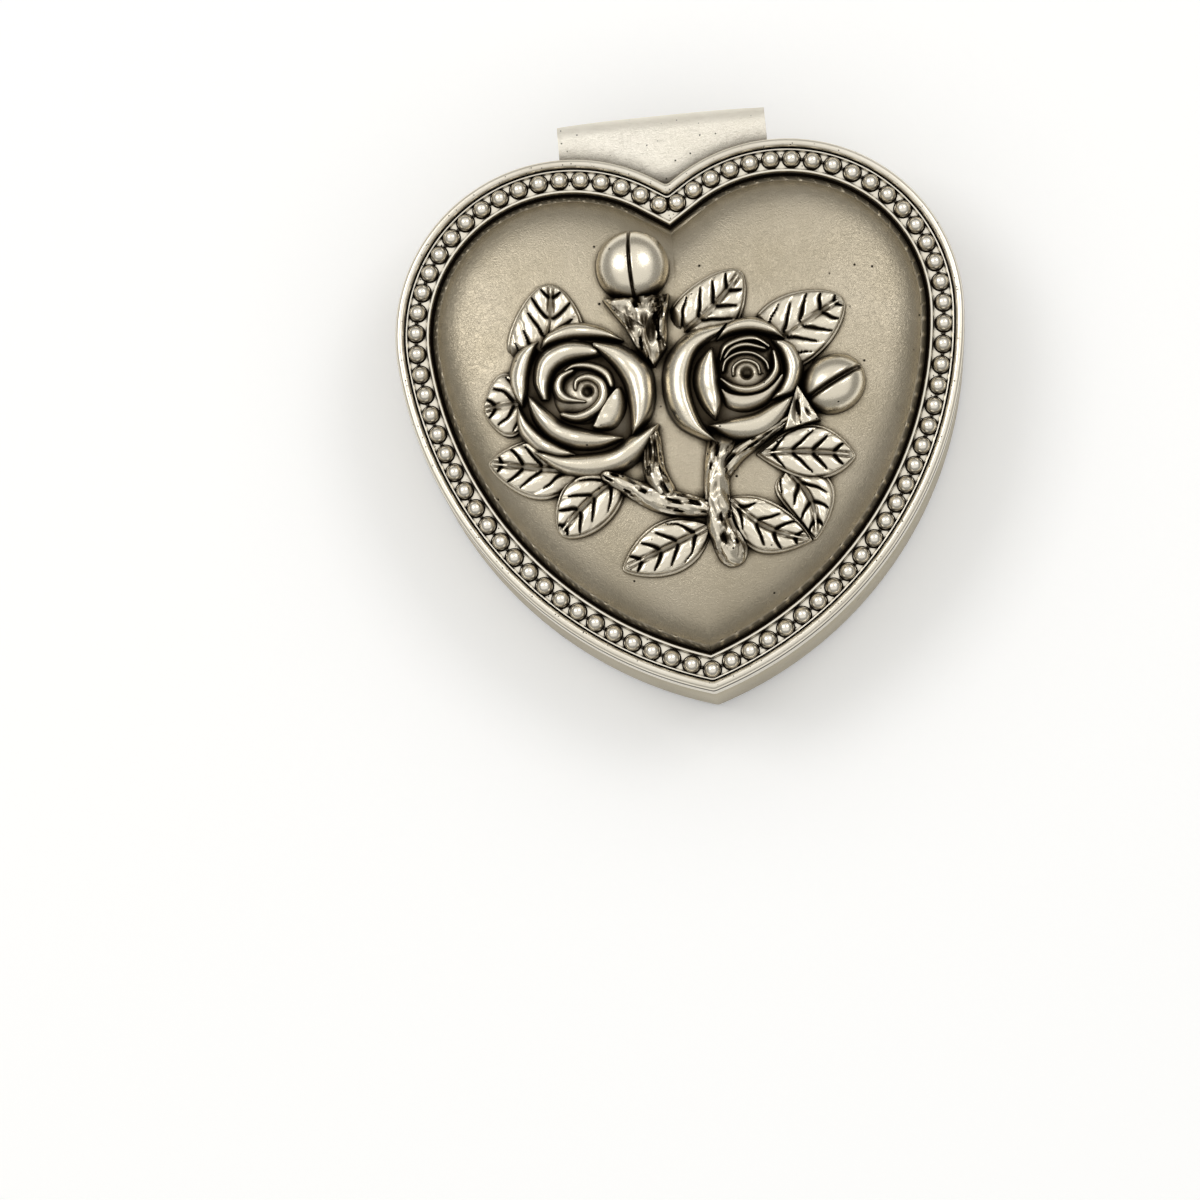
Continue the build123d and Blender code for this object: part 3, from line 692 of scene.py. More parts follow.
@dataclass
class BeadBorder:
    """Beaded wire in the channel: one bead at the tip and as many on each side."""

    finish: AntiquedMetal
    per_side: int = 39
    line: float = -2.9
    ball: float = 1.18
    collar: float = 1.38
    top: float = 21.8
    link: float = 0.2

    def places(self) -> tuple[Points, Points]:
        """Spread beads and links along the channel.

        Returns:
            The places of the beads and the places of the links between them.
        """
        path = OUTLINE.half(self.line, 0.05, 0.05, fine=4)
        lengths = [0.0]
        for start, end in zip(path, path[1:]):
            lengths.append(lengths[-1] + (end - start).length)
        pitch = lengths[-1] / (self.per_side + 0.5)

        def at(distance: float) -> Vector:
            """Place at a distance from the tip."""
            index = next((i for i, length in enumerate(lengths) if length >= distance), len(path) - 1) or 1
            share = (distance - lengths[index - 1]) / (lengths[index] - lengths[index - 1])
            return path[index - 1].lerp(path[index], share)

        beads, links = [at(0.0)], []
        for number in range(1, self.per_side + 1):
            for spots, distance in ((beads, number * pitch), (links, (number - 0.5) * pitch)):
                spot = at(distance)
                spots += [spot, Vector((-spot.x, spot.y))]
        return beads, links + [at(lengths[-1])]

    def build(self) -> None:
        """Build beads, their dark collars and the links between them."""
        shape = bmesh.new()
        beads, links = self.places()
        for spot in beads:
            center = Vector((spot.x, spot.y, self.top - self.ball)) * MM
            bmesh.ops.create_uvsphere(shape, u_segments=20, v_segments=12, radius=self.ball * MM,
                                      matrix=Matrix.Translation(center))
            foot = Vector((spot.x, spot.y, LEVELS.channel + 0.06)) * MM
            bmesh.ops.create_cone(shape, cap_ends=True, segments=20, radius1=self.collar * MM,
                                  radius2=(self.collar - 0.08) * MM, depth=0.12 * MM,
                                  matrix=Matrix.Translation(foot))
        for spot in links:
            center = Vector((spot.x, spot.y, LEVELS.channel + 0.25)) * MM
            bmesh.ops.create_icosphere(shape, subdivisions=2, radius=self.link * MM,
                                       matrix=Matrix.Translation(center))

        def shade(place: Vector) -> float:
            """Painted shade: dark collars, and flanks that darken downwards."""
            below = (self.top - place.z) / self.ball
            return 0.25 * smooth(0.15, 0.7, below) + 0.75 * smooth(0.75, 0.95, below)

        def wear_and_light(place: Vector) -> float:
            """Painted top light: bright tops of the beads, kept clear of patina and painted shade."""
            return smooth(self.top - 0.7 * self.ball, self.top - 0.1 * self.ball, place.z)

        add_piece("bead_border_wire", shape, self.finish.make(), Body.LID, "bead_border", shade,
                  wear_and_light=wear_and_light)


@dataclass
class LidDome:
    """Pillow-shaped panel: a rounded shoulder under a very flat crown."""

    finish: AntiquedMetal
    edge: float = -6.06
    flange: float = 5.3
    crimp_gap: float = 2.2
    crimp_depth: float = 0.28
    thickness: float = 1.2
    flange_rises: tuple[tuple[float, float], ...] = ((5.3, 0.25), (5.4, 0.55), (5.65, 0.85), (5.86, 1.05))
    shoulder: tuple[tuple[float, float], ...] = ((0.0, 1.15), (0.12, 1.3), (0.4, 1.6), (0.75, 1.97),
                                                 (1.2, 2.4), (1.8, 2.9), (2.5, 3.4), (3.4, 3.95), (4.5, 4.5),
                                                 (6.0, 5.15), (7.5, 5.7), (9.0, 6.2))
    blend: float = 1.8

    def top(self, inset: float, rise: float, x: float, y: float) -> float:
        """Blend shoulder and crown.

        Args:
            inset: Distance in from the edge; not used.
            rise: Height of the shoulder above the seat there.
            x: Place in plan.
            y: Place in plan.

        Returns:
            Height of the outer face.
        """
        crown = LEVELS.dome(x, y) - LEVELS.seat
        share = max(self.blend - abs(crown - rise), 0.0) / self.blend
        return LEVELS.seat + min(crown, rise) - share * share * self.blend / 4

    def build(self) -> None:
        """Build the dome as a closed skin with a hollow below."""
        rings = [OUTLINE.ring(-self.flange, LEVELS.seat, sharp=True, fine=3)]
        for offset, rise in self.flange_rises:
            ring = OUTLINE.ring(-offset, LEVELS.seat + rise, sharp=True, fine=3)
            travelled = 0.0
            for before, point in zip(ring, ring[1:]):
                travelled += (point - before).length
                point.z += self.crimp_depth * max(0.0, cos(2 * pi * travelled / self.crimp_gap)) ** 6 * rise
            rings.append(ring)
        for inset, rise in self.shoulder:
            ring = OUTLINE.ring(self.edge - inset, 0.0, sharp=True, fine=3)
            for point in ring:
                point.z = self.top(inset, rise, point.x, point.y)
            rings.append(ring)
        outer = OUTLINE.disc(rings[-1], LEVELS.dome, 16, Vector((0, 2)))
        hollow = [OUTLINE.ring(self.edge - self.thickness - inset, LEVELS.seat + rise, sharp=True, fine=3)
                  for inset, rise in ((4.0, 3.0), (0.0, 0.0))]
        roof = OUTLINE.disc(hollow[0], lambda x, y: LEVELS.seat + 3.0, 2, Vector((0, 2)))
        shape = loft(outer[::-1] + rings[::-1] + hollow[::-1] + roof)

        def excess(place: Vector) -> float:
            """Height above the plain flange, which only the crimps have; -1 off the flange."""
            if not LEVELS.seat + 0.1 < place.z < LEVELS.seat + 1.5:
                return -1.0
            depth = OUTLINE.depth(place)
            for (near, low), (far, high) in zip(self.flange_rises, self.flange_rises[1:]):
                if near - 0.05 <= depth <= far + 0.05:
                    return place.z - LEVELS.seat - low - (high - low) * (depth - near) / (far - near)
            return -1.0

        def shade(place: Vector) -> float:
            """Brown slope between the crimps."""
            more = excess(place)
            return 0.62 * smooth(0.12, 0.03, more) if more > -0.5 else 0.0

        def wear_and_light(place: Vector) -> float:
            """Bright crimps on a slope that was half rubbed back."""
            more = excess(place)
            return 0.8 + 0.2 * smooth(0.03, 0.12, more) if more > -0.5 else 0.0

        add_piece("lid_dome_panel", shape, self.finish.make(), Body.LID, "lid_dome", shade, wear_and_light=wear_and_light)


# ---------------------------------------------------------------- ornament


@dataclass
class Petal:
    """One thick petal: a rounded skin between its outer and its inner edge, its crest nearer the inner edge."""

    outer: list[tuple[float, float]]
    inner: list[tuple[float, float]]
    height: float
    crest: float = 0.34
    sill: float = 0.35
    count: int = 44

    def skin(self, center: Vector) -> bmesh.types.BMesh:
        """Build the petal round a centre.

        Args:
            center: Centre of the rose in plan.

        Returns:
            The closed petal.
        """
        outers, inners = ([center + Vector(spot) for spot in spline(line, self.count)]
                          for line in (self.outer, self.inner))
        rings = []
        for step, (out, inn) in enumerate(zip(outers, inners)):
            ripple = 0.06 * noise.noise(Vector((step * 0.16, self.height * 3, center.x)))
            rise = self.height * (0.6 + 0.4 * smooth(0.0, 1.6, (out - inn).length)) * (1 + ripple)
            ring = []
            for share, level in self.section():
                spot = inn.lerp(out, share)
                ring.append(Vector((spot.x, spot.y, LEVELS.dome(spot.x, spot.y) + level * rise)))
            rings.append(ring)
        ends = [[sum(ring, Vector((0, 0, 0))) / len(ring)] * len(ring) for ring in (rings[0], rings[-1])]
        return loft([ends[0]] + rings + [ends[1]])

    def section(self) -> list[tuple[float, float]]:
        """Cross-section from the inner to the outer edge.

        Returns:
            Shares of the width and of the height.
        """
        quarter = [pi / 2 * step / 9 for step in range(10)]
        inner = [(self.crest * (1 - cos(a)), self.sill + (1 - self.sill) * sin(a)) for a in quarter]
        outer = [(self.crest + (1 - self.crest) * sin(a), 0.1 + 0.9 * max(cos(a), 0.0) ** 1.25) for a in quarter[1:]]
        return [(0.0, -0.3)] + inner + outer + [(1.0, -0.3)]


@dataclass
class Ridge:
    """A raised strip along a free line: (x, y, half width) at each station."""

    stations: list[tuple[float, float, float]]
    height: float
    bark: float = 0.0
    seed: float = 0.0
    count: int = 60
    sink: float = 0.0

    def skin(self, center: Vector) -> bmesh.types.BMesh:
        """Build the strip.

        Args:
            center: Added to every station in plan.

        Returns:
            The closed strip.
        """
        samples = spline(self.stations, self.count * 3)
        samples = samples[:6] + samples[6:-6:3] + samples[-6:]
        spots = [center + Vector(sample[:2]) for sample in samples]
        lengths = [0.0]
        for start, end in zip(spots, spots[1:]):
            lengths.append(lengths[-1] + (end - start).length)
        rings = []
        for index, (spot, sample, travelled) in enumerate(zip(spots, samples, lengths)):
            before, after = spots[max(index - 1, 0)], spots[min(index + 1, len(spots) - 1)]
            along = (after - before).normalized()
            sideways = Vector((-along.y, along.x)) * max(sample[2], 0.01)
            end = min(travelled, lengths[-1] - travelled) / max(sample[2], 0.01)
            cap = max(sqrt(1 - (1 - min(end, 1.0)) ** 2), 0.02)
            ring = []
            for step in range(25):
                turn = pi * step / 24
                rough = self.roughness(turn, travelled)
                width, rise = cos(turn), sin(turn) ** 0.75
                place = spot + sideways * width * cap * (1 + 0.25 * rough)
                level = self.height * (0.35 + 0.65 * cap) * rise * (1 + rough)
                level = LEVELS.dome(place.x, place.y) + level * (1 - self.sink * smooth(3.5, 0.5, travelled))
                ring.append(Vector((place.x, place.y, level)))
            for side in (-1, 1):
                place = spot + sideways * side * cap
                ring.append(Vector((place.x, place.y, LEVELS.dome(place.x, place.y) - 0.6)))
            rings.append(ring)
        ends = [[sum(ring, Vector((0, 0, 0))) / len(ring)] * len(ring) for ring in (rings[0], rings[-1])]
        return loft([ends[0]] + rings + [ends[1]])

    def roughness(self, turn: float, travelled: float) -> float:
        """Bark at a place of the limb.

        Args:
            turn: Angle round the limb.
            travelled: Distance along it.

        Returns:
            Share of the height, negative in a pit.
        """
        if not self.bark:
            return 0.0
        swirl = 0.7 * noise.noise(Vector((travelled * 0.25, turn, self.seed + 3)))
        ridges = abs(noise.noise(Vector((turn * 1.9 + swirl, travelled * 0.28, self.seed))))
        pits = noise.noise(Vector((turn * 2.6 + swirl, travelled * 0.5, self.seed + 7)))
        return self.bark * (0.5 - 1.8 * ridges - 0.9 * smooth(0.3, 0.45, pits))


@dataclass
class Rose:
    """Open rose: a dark foot, a ring of thick petals and a rolled heart round a dark eye."""

    name: str
    center: tuple[float, float]
    foot: tuple[float, float, float, float]
    heart: tuple[float, float, float, float]
    eye: tuple[float, float]
    petals: list[Petal]
    rolls: list[Ridge]
    foot_height: float = 1.25
    heart_height: float = 2.8
    heart_fall: float = 1.3
    eye_radius: float = 0.75

    def build(self, finish: bpy.types.Material) -> None:
        """Build the rose as one piece.

        Args:
            finish: Material of the relief.
        """
        center = Vector(self.center)
        parts = [self.mound(center, self.foot, self.foot[:2], self.foot_height, 0.25),
                 self.mound(center, self.heart, self.eye, self.heart_height, self.heart_fall)]
        parts += [petal.skin(center) for petal in self.petals]
        parts += [roll.skin(center) for roll in self.rolls]
        middle = center + Vector(self.eye)

        def shade(place: Vector) -> float:
            """Patina in the gaps between the petals and in the eye."""
            return max(0.78 * smooth(1.7, 1.1, place.z - LEVELS.dome(place.x, place.y)),
                       smooth(self.eye_radius, 0.7 * self.eye_radius, (place.xy - middle).length))

        add_piece(f"{self.name}_relief", join(*parts), finish, Body.LID, self.name, shade)

    def mound(self, center: Vector, size: tuple[float, float, float, float], pole: tuple[float, float],
              height: float, fall: float) -> bmesh.types.BMesh:
        """Rounded body under the petals, with a dimple at its pole.

        Args:
            center: Centre of the rose in plan.
            size: Shift of its middle and its two radii.
            pole: Shift of its pole.
            height: Height of its middle.
            fall: How much lower its edge is.

        Returns:
            The closed mound.
        """
        middle, drift = center + Vector(size[:2]), Vector(pole) - Vector(size[:2])
        rings = []
        for share, level in ((0.0, -0.6), (1.0, -0.6), (1.0, height - fall - 0.5), (0.97, height - fall - 0.2),
                             (0.9, height - fall), (0.7, height - 0.45 * fall), (0.4, height - 0.1 * fall),
                             (0.24, height), (0.18, height - 0.2), (0.13, height - 0.7), (0.0, height - 1.0)):
            spots = [middle + drift * (1 - share) + Vector((size[2] * cos(a), size[3] * sin(a))) * share
                     for a in (2 * pi * step / 56 for step in range(56))]
            rings.append([Vector((p.x, p.y, LEVELS.dome(p.x, p.y) + level)) for p in spots])
        return loft(rings)


@dataclass
class Bud:
    """Closed bud: a half ellipsoid with a crease along its length."""

    name: str
    center: tuple[float, float]
    length: float
    width: float
    height: float
    angle: float
    crease_width: float
    crease_depth: float
    sway: float = 0.0

    def build(self, finish: bpy.types.Material) -> None:
        """Build the bud as a crowned skin with the crease pressed in.

        Args:
            finish: Material of the relief.
        """
        shape = bmesh.new()
        bmesh.ops.create_grid(shape, x_segments=64, y_segments=88, size=1.0)
        turn = Matrix.Rotation(radians(self.angle), 2)
        center = Vector(self.center)
        base = LEVELS.dome(*self.center)
        for vert in shape.verts:
            a, b = vert.co.x, vert.co.y
            b = b * abs(b) ** 0.5
            u, v = a * sqrt(1 - b * b / 2), b * sqrt(1 - a * a / 2)
            out = min(hypot(u, v), 1.0)
            spot = center + turn @ Vector((u * self.length / 2, v * self.width / 2))
            rise = self.height * sqrt(max(0.0, 1 - out ** 2.2))
            across = v * self.width / 2 - self.sway * (1 - u * u)
            crease = exp(-(across / self.crease_width) ** 2) * smooth(1.0, 0.9, abs(u))
            vert.co = Vector((spot.x, spot.y, base + rise - self.crease_depth * crease)) * MM
        rim = [edge for edge in shape.edges if edge.is_boundary]
        skirt = bmesh.ops.extrude_edge_only(shape, edges=rim)["geom"]
        lower = [item for item in skirt if isinstance(item, bmesh.types.BMVert)]
        for vert in lower:
            vert.co.z = (base - 1.0) * MM
        bmesh.ops.contextual_create(shape, geom=[item for item in skirt if isinstance(item, bmesh.types.BMEdge)
                                                 and item.is_boundary])
        bmesh.ops.recalc_face_normals(shape, faces=shape.faces)
        add_piece(f"{self.name}_relief", shape, finish, Body.LID, self.name,
                  speckle=lambda place: 0.12)


@dataclass
class Leaf:
    """Leaf with a flat rim, pillowy segments between cut veins and a raised midrib."""

    name: str
    base: tuple[float, float]
    tip: tuple[float, float]
    width: float
    lift: float = 0.0
    bend: float = 0.0
    fullness: float = 0.85
    roundness: float = 0.72
    rim: float = 0.4
    rim_height: float = 0.75
    vein_gap: float = 2.9
    vein_depth: float = 0.55
    vein_width: float = 0.2
    dip: float = 0.5

    def build(self, finish: bpy.types.Material) -> None:
        """Build the leaf on the crown.

        Args:
            finish: Material of the relief.
        """
        shape = bmesh.new()
        start, end = Vector(self.base), Vector(self.tip)
        length = (end - start).length
        along = (end - start) / length
        side = Vector((-along.y, along.x))
        bmesh.ops.create_grid(shape, x_segments=int(length / 0.12), y_segments=56, size=1.0)
        shades: dict[tuple[int, int], float] = {}
        for vert in shape.verts:
            u, v = min(max((vert.co.x + 1) / 2, 0.0), 1.0), vert.co.y
            v = v * (1.35 - 0.35 * v * v)
            half = max(self.width / 2 * sin(pi * u ** self.fullness) ** self.roundness, 0.004) if 0 < u < 1 else 0.004
            spot = start + along * (u * length) + side * (v * half + self.bend * sin(pi * u))
            rise, dark = self.relief(u * length, abs(v) * half, half, length)
            vert.co = Vector((spot.x, spot.y, LEVELS.dome(spot.x, spot.y) + self.lift + rise)) * MM
            shades[(round(vert.co.x * 2e6), round(vert.co.y * 2e6))] = dark
        rim = [edge for edge in shape.edges if edge.is_boundary]
        skirt = bmesh.ops.extrude_edge_only(shape, edges=rim)["geom"]
        for item in skirt:
            if isinstance(item, bmesh.types.BMVert):
                item.co.z = (LEVELS.dome(*(item.co.xy / MM)) - 0.5) * MM
        bmesh.ops.contextual_create(shape, geom=[item for item in skirt if isinstance(item, bmesh.types.BMEdge)
                                                 and item.is_boundary])
        bmesh.ops.recalc_face_normals(shape, faces=shape.faces)

        def shade(place: Vector) -> float:
            """Patina in the veins."""
            return shades.get((round(place.x * MM * 2e6), round(place.y * MM * 2e6)), 0.0)

        add_piece(f"{self.name}_relief", shape, finish, Body.LID, self.name, shade)

    def relief(self, run: float, across: float, half: float, length: float) -> tuple[float, float]:
        """Height and patina at a place of the leaf.

        Args:
            run: Distance from the base.
            across: Distance from the midrib.
            half: Half width of the leaf there.
            length: Length of the leaf.

        Returns:
            Height above the crown, and share of patina.
        """
        inward = half - across
        share_out = across / max(half, 0.2)
        edge = min(max(inward, 0.0) / 0.2, 1.0)
        height = self.rim_height * (0.35 + 0.65 * sqrt(1 - (1 - edge) ** 2))
        inside = smooth(self.rim * 0.8, self.rim * 1.5, inward) * smooth(0.0, 0.06, 1 - run / length)
        wander = 0.2 * noise.noise(Vector((run * 0.4, across * 0.6, length)))
        phase = (run - 0.75 * across - 0.1 * across * across) / self.vein_gap + wander + 0.3
        number, share = round(phase), phase % 1.0
        gap = min(share, 1 - share) * self.vein_gap * 0.8
        ends = 0.68 + 0.22 * noise.noise(Vector((number * 1.7, length, 0.5)))
        wedge = smooth(0.04, 0.16, share_out) * max(1 - share_out / (ends + 0.12), 0.0) ** 0.6
        pillow = (1 - abs(2 * share - 1) ** 3) * (0.6 + 0.4 * share)
        swell = 0.12 + 0.42 * sin(pi * min(share_out * 0.9 + 0.08, 1.0)) ** 0.7
        vein = exp(-(gap / max(self.vein_width * wedge, 0.03)) ** 2) * smooth(0.0, 0.3, wedge) * inside
        rib = exp(-(across / 0.16) ** 2) * 0.28
        gutter = exp(-((across - 0.36) / 0.12) ** 2)
        chased = 0.05 * noise.noise(Vector((run * 1.1 - across * 0.9, across * 2.6, length)))
        height += inside * (0.5 * pillow * swell + swell + rib - 0.14 * gutter + chased) - vein * self.vein_depth
        height -= self.dip * smooth(0.28, 0.1, run / length)
        lip = exp(-((inward - self.rim) / 0.1) ** 2) * smooth(0.1, 0.5, share_out)
        dark = min(1.0, vein * 1.1 + 0.3 * gutter * inside + 0.45 * lip)
        return height, dark


@dataclass
class Sepals:
    """Calyx: a rough pad between a bud and its stem."""

    name: str
    corners: list[tuple[float, float]]
    height: float
    roughness: float
    seed: float

    def build(self, finish: bpy.types.Material) -> None:
        """Build the pad from its corners.

        Args:
            finish: Material of the relief.
        """
        corners = [Vector(corner) for corner in self.corners]
        edge = []
        for start, end in zip(corners, corners[1:] + corners[:1]):
            edge += [start.lerp(end, step / 16) for step in range(16)]
        middle = sum(corners, Vector((0, 0))) / len(corners)
        rings = []
        for share, rise in ((1.0, -0.5), (1.0, 0.5), (0.98, 0.75), (0.94, 0.92), (0.88, 1.0)):
            rings.append([self.spot(middle, point, share, rise) for point in edge])
        for step in range(1, 14):
            rings.append([self.spot(middle, point, 0.88 * (1 - step / 13), 1.0) for point in edge])
        bottom = [Vector((middle.x, middle.y, LEVELS.dome(middle.x, middle.y) - 0.5))] * len(edge)
        add_piece(f"{self.name}_relief", loft([bottom] + rings), finish, Body.LID, self.name,
                  speckle=lambda place: 0.35)

    def spot(self, middle: Vector, point: Vector, share: float, rise: float) -> Vector:
        """Place on the pad.

        Args:
            middle: Centre of the pad in plan.
            point: Place on its edge.
            share: From 0 at the centre to 1 at the edge.
            rise: Share of the height.

        Returns:
            The place in space, roughened like bark.
        """
        place = middle.lerp(point, share)
        grain = abs(noise.noise(Vector((place.x * 0.95, place.y * 0.3, self.seed))))
        pits = smooth(0.3, 0.45, noise.noise(Vector((place.x * 1.2, place.y * 0.4, self.seed + 5))))
        rough = self.roughness * (0.4 - 2.2 * grain - 1.3 * pits) * smooth(0.0, 0.9, rise)
        return Vector((place.x, place.y, LEVELS.dome(place.x, place.y) + self.height * (rise + rough)))


@dataclass
class Ornament:
    """Relief soldered on the dome: two roses, two buds with their calyxes, stems and ten leaves."""

    finish: AntiquedMetal
    outer: float = 2.6
    middle: float = 3.0
    inner: float = 3.4

    def roses(self) -> list[Rose]:
        """Describe both roses.

        Returns:
            The left and the right rose.
        """
        low, mid, top = self.outer, self.middle, self.inner
        left = Rose("rose_left", (-13.9, 4.6), (-0.4, -0.9, 9.0, 9.4), (-0.1, -0.5, 4.4, 4.3), (0.6, -0.2), [
            Petal([(-5.8, 7.9), (-8.8, 6.8), (-10.4, 3.8), (-10.3, 1.0), (-9.0, -1.3)],
                  [(-5.9, 7.4), (-6.8, 5.2), (-7.5, 2.8), (-7.9, 0.5), (-8.7, -1.3)], low, 0.42, 0.15),
            Petal([(-5.7, 6.7), (-4.3, 8.9), (-0.9, 10.0), (3.0, 9.0), (6.1, 6.7)],
                  [(-5.2, 6.5), (-3.8, 6.9), (-0.8, 7.2), (2.6, 6.9), (5.9, 6.4)], low, 0.5, 0.15),
            Petal([(-9.7, -1.5), (-9.8, -4.6), (-7.8, -7.7), (-5.4, -9.2), (-2.3, -9.1)],
                  [(-9.3, -1.3), (-8.0, -3.5), (-6.2, -5.5), (-4.2, -7.0), (-2.0, -8.6)], low, 0.42, 0.15),
            Petal([(-7.9, -8.1), (-4.8, -10.9), (-0.7, -12.3), (3.8, -11.9), (7.6, -9.7), (10.0, -5.8)],
                  [(-7.3, -7.7), (-3.9, -8.4), (-0.5, -8.6), (3.1, -8.3), (6.0, -6.8), (9.8, -5.5)], low, 0.48, 0.15),
            Petal([(1.9, 6.9), (6.0, 6.0), (9.3, 3.0), (9.9, -1.0), (8.8, -4.7), (6.3, -6.9)],
                  [(1.8, 5.7), (3.8, 3.4), (5.2, 0.7), (5.8, -2.2), (6.0, -4.7), (6.0, -6.8)], mid + 0.1, 0.42, 0.15),
            Petal([(-6.2, -0.7), (-7.2, 2.2), (-6.0, 5.8), (-2.4, 7.5), (1.9, 6.7), (2.5, 5.2)],
                  [(-4.9, -0.8), (-4.3, 1.6), (-3.4, 3.1), (-1.8, 3.9), (0.3, 4.2), (2.6, 4.6)], mid, 0.55, 0.12),
            Petal([(-8.1, -0.2), (-7.7, -3.4), (-5.7, -6.3), (-2.6, -8.1), (1.2, -8.5), (4.8, -7.4)],
                  [(-7.6, 0.1), (-5.3, -2.0), (-3.4, -3.8), (-1.2, -4.8), (1.6, -5.8), (4.8, -7.0)], mid, 0.5, 0.12),
            Petal([(5.2, 0.0), (6.0, -2.1), (5.4, -4.3), (3.7, -5.9), (1.2, -5.8)],
                  [(5.0, 0.1), (3.3, -1.1), (1.9, -2.7), (1.0, -4.4), (0.7, -5.3)], mid - 0.1, crest=0.14, sill=0.5),
        ], [
            Ridge([(-2.6, 2.8, 0.3), (-1.0, 3.5, 0.6), (1.3, 3.2, 0.8), (3.2, 1.9, 0.9), (3.9, -0.3, 0.5)], mid - 0.1),
            Ridge([(-1.0, 2.9, 0.4), (-3.0, 2.1, 0.75), (-3.6, 0.4, 0.95), (-2.5, -1.0, 0.8), (0.3, -1.8, 0.3)],
                  top - 0.2),
            Ridge([(-1.2, -0.2, 0.4), (-0.9, 1.3, 0.6), (0.8, 1.7, 0.75), (2.4, 0.6, 0.95), (2.5, -1.4, 1.0),
                   (1.0, -3.0, 0.95), (-1.4, -3.7, 0.8), (-3.7, -3.0, 0.4)], top),
        ])
        right = Rose("rose_right", (8.6, 4.6), (-1.8, -0.5, 8.8, 7.7), (0.3, 0.9, 4.5, 4.8), (0.2, -0.1), [
            Petal([(-1.7, 7.8), (-7.1, 7.0), (-10.9, 3.5), (-11.7, -1.7), (-9.9, -6.3), (-4.4, -9.5)],
                  [(-3.5, 5.8), (-6.3, 3.8), (-7.6, 0.6), (-7.5, -2.8), (-6.4, -6.5), (-4.6, -9.2)], mid, sill=0.25),
            Petal([(-3.6, 5.3), (-2.1, 7.5), (1.3, 8.3), (4.1, 7.1), (5.9, 4.8)],
                  [(-3.3, 5.1), (-1.3, 5.7), (1.1, 5.8), (3.8, 5.2), (5.8, 4.5)], low + 0.2, 0.5, 0.15),
            Petal([(4.2, 4.7), (7.0, 4.0), (8.2, 0.6), (6.8, -3.0), (3.6, -4.0)],
                  [(4.1, 4.3), (4.9, 2.5), (5.2, 0.0), (4.4, -2.0), (3.3, -3.5)], low + 0.1, 0.5, 0.15),
            Petal([(-5.8, -6.9), (-2.5, -9.0), (1.5, -9.2), (4.7, -7.1), (6.5, -3.9)],
                  [(-5.6, -6.5), (-2.2, -5.8), (0.9, -5.3), (3.4, -4.2), (6.1, -3.5)], low + 0.1, 0.42, 0.2),
            Petal([(-4.4, 4.4), (-6.8, 2.4), (-7.6, -0.6), (-6.7, -3.8), (-4.9, -6.0)],
                  [(-4.2, 4.3), (-3.8, 1.8), (-3.7, -1.0), (-3.7, -3.8), (-4.6, -5.9)], mid + 0.3, 0.28, 0.5),
            Petal([(-3.6, -2.9), (-3.1, -4.6), (-0.9, -5.5), (1.6, -5.1), (3.5, -3.9), (5.3, -1.6)],
                  [(-3.4, -1.6), (-2.2, -2.3), (-0.1, -2.7), (2.1, -2.5), (3.7, -1.6), (5.1, -0.3)], mid - 0.4,
                  crest=0.2, sill=0.6),
            Petal([(-3.6, 2.7), (-2.9, 4.7), (-0.5, 5.7), (2.0, 5.6), (3.8, 4.2)],
                  [(-3.1, 2.0), (-2.1, 3.5), (-0.1, 4.3), (1.9, 4.3), (3.6, 3.2)], mid - 0.2),
        ], [
            Ridge([(-3.6, -0.3, 0.25), (-1.9, -1.7, 0.6), (0.3, -2.3, 0.7), (2.6, -1.7, 0.75), (4.3, 0.2, 0.7),
                   (4.2, 3.0, 0.3)], top),
            Ridge([(-2.8, 2.2, 0.3), (-1.5, 3.6, 0.5), (0.6, 4.0, 0.55), (3.3, 3.1, 0.3)], top - 0.1),
            Ridge([(-3.1, 0.3, 0.3), (-2.5, 2.0, 0.45), (-0.7, 2.9, 0.5), (1.4, 2.7, 0.5), (3.0, 1.4, 0.45),
                   (3.3, 0.0, 0.3)], top - 0.2),
            Ridge([(-1.7, -0.4, 0.3), (-1.4, 1.1, 0.45), (0.1, 1.8, 0.5), (1.7, 1.1, 0.45), (2.1, -0.5, 0.3)], top),
        ])
        return [left, right]

    def build(self) -> None:
        """Build every relief piece."""
        finish = self.finish.make()
        for rose in self.roses():
            rose.build(finish)
        Bud("rosebud_top", (-5.7, 21.6), 10.3, 10.3, 4.0, 90.0, 0.2, 0.5, sway=0.3).build(finish)
        Bud("rosebud_side", (20.6, 2.4), 9.4, 8.2, 3.4, 27.0, 0.38, 0.9).build(finish)
        Sepals("calyx_top", [(-10.3, 17.3), (-7.6, 13.2), (-6.0, 9.5), (-3.9, 7.0), (-1.9, 9.5), (-1.6, 13.2),
                              (-0.9, 17.2)], 2.2, 0.42, 2.0).build(finish)
        Sepals("calyx_side", [(13.0, -3.8), (18.4, -2.6), (15.6, 2.8)], 2.0, 0.16, 4.0).build(finish)
        self.limbs(finish)
        for leaf in self.leaves():
            leaf.build(finish)

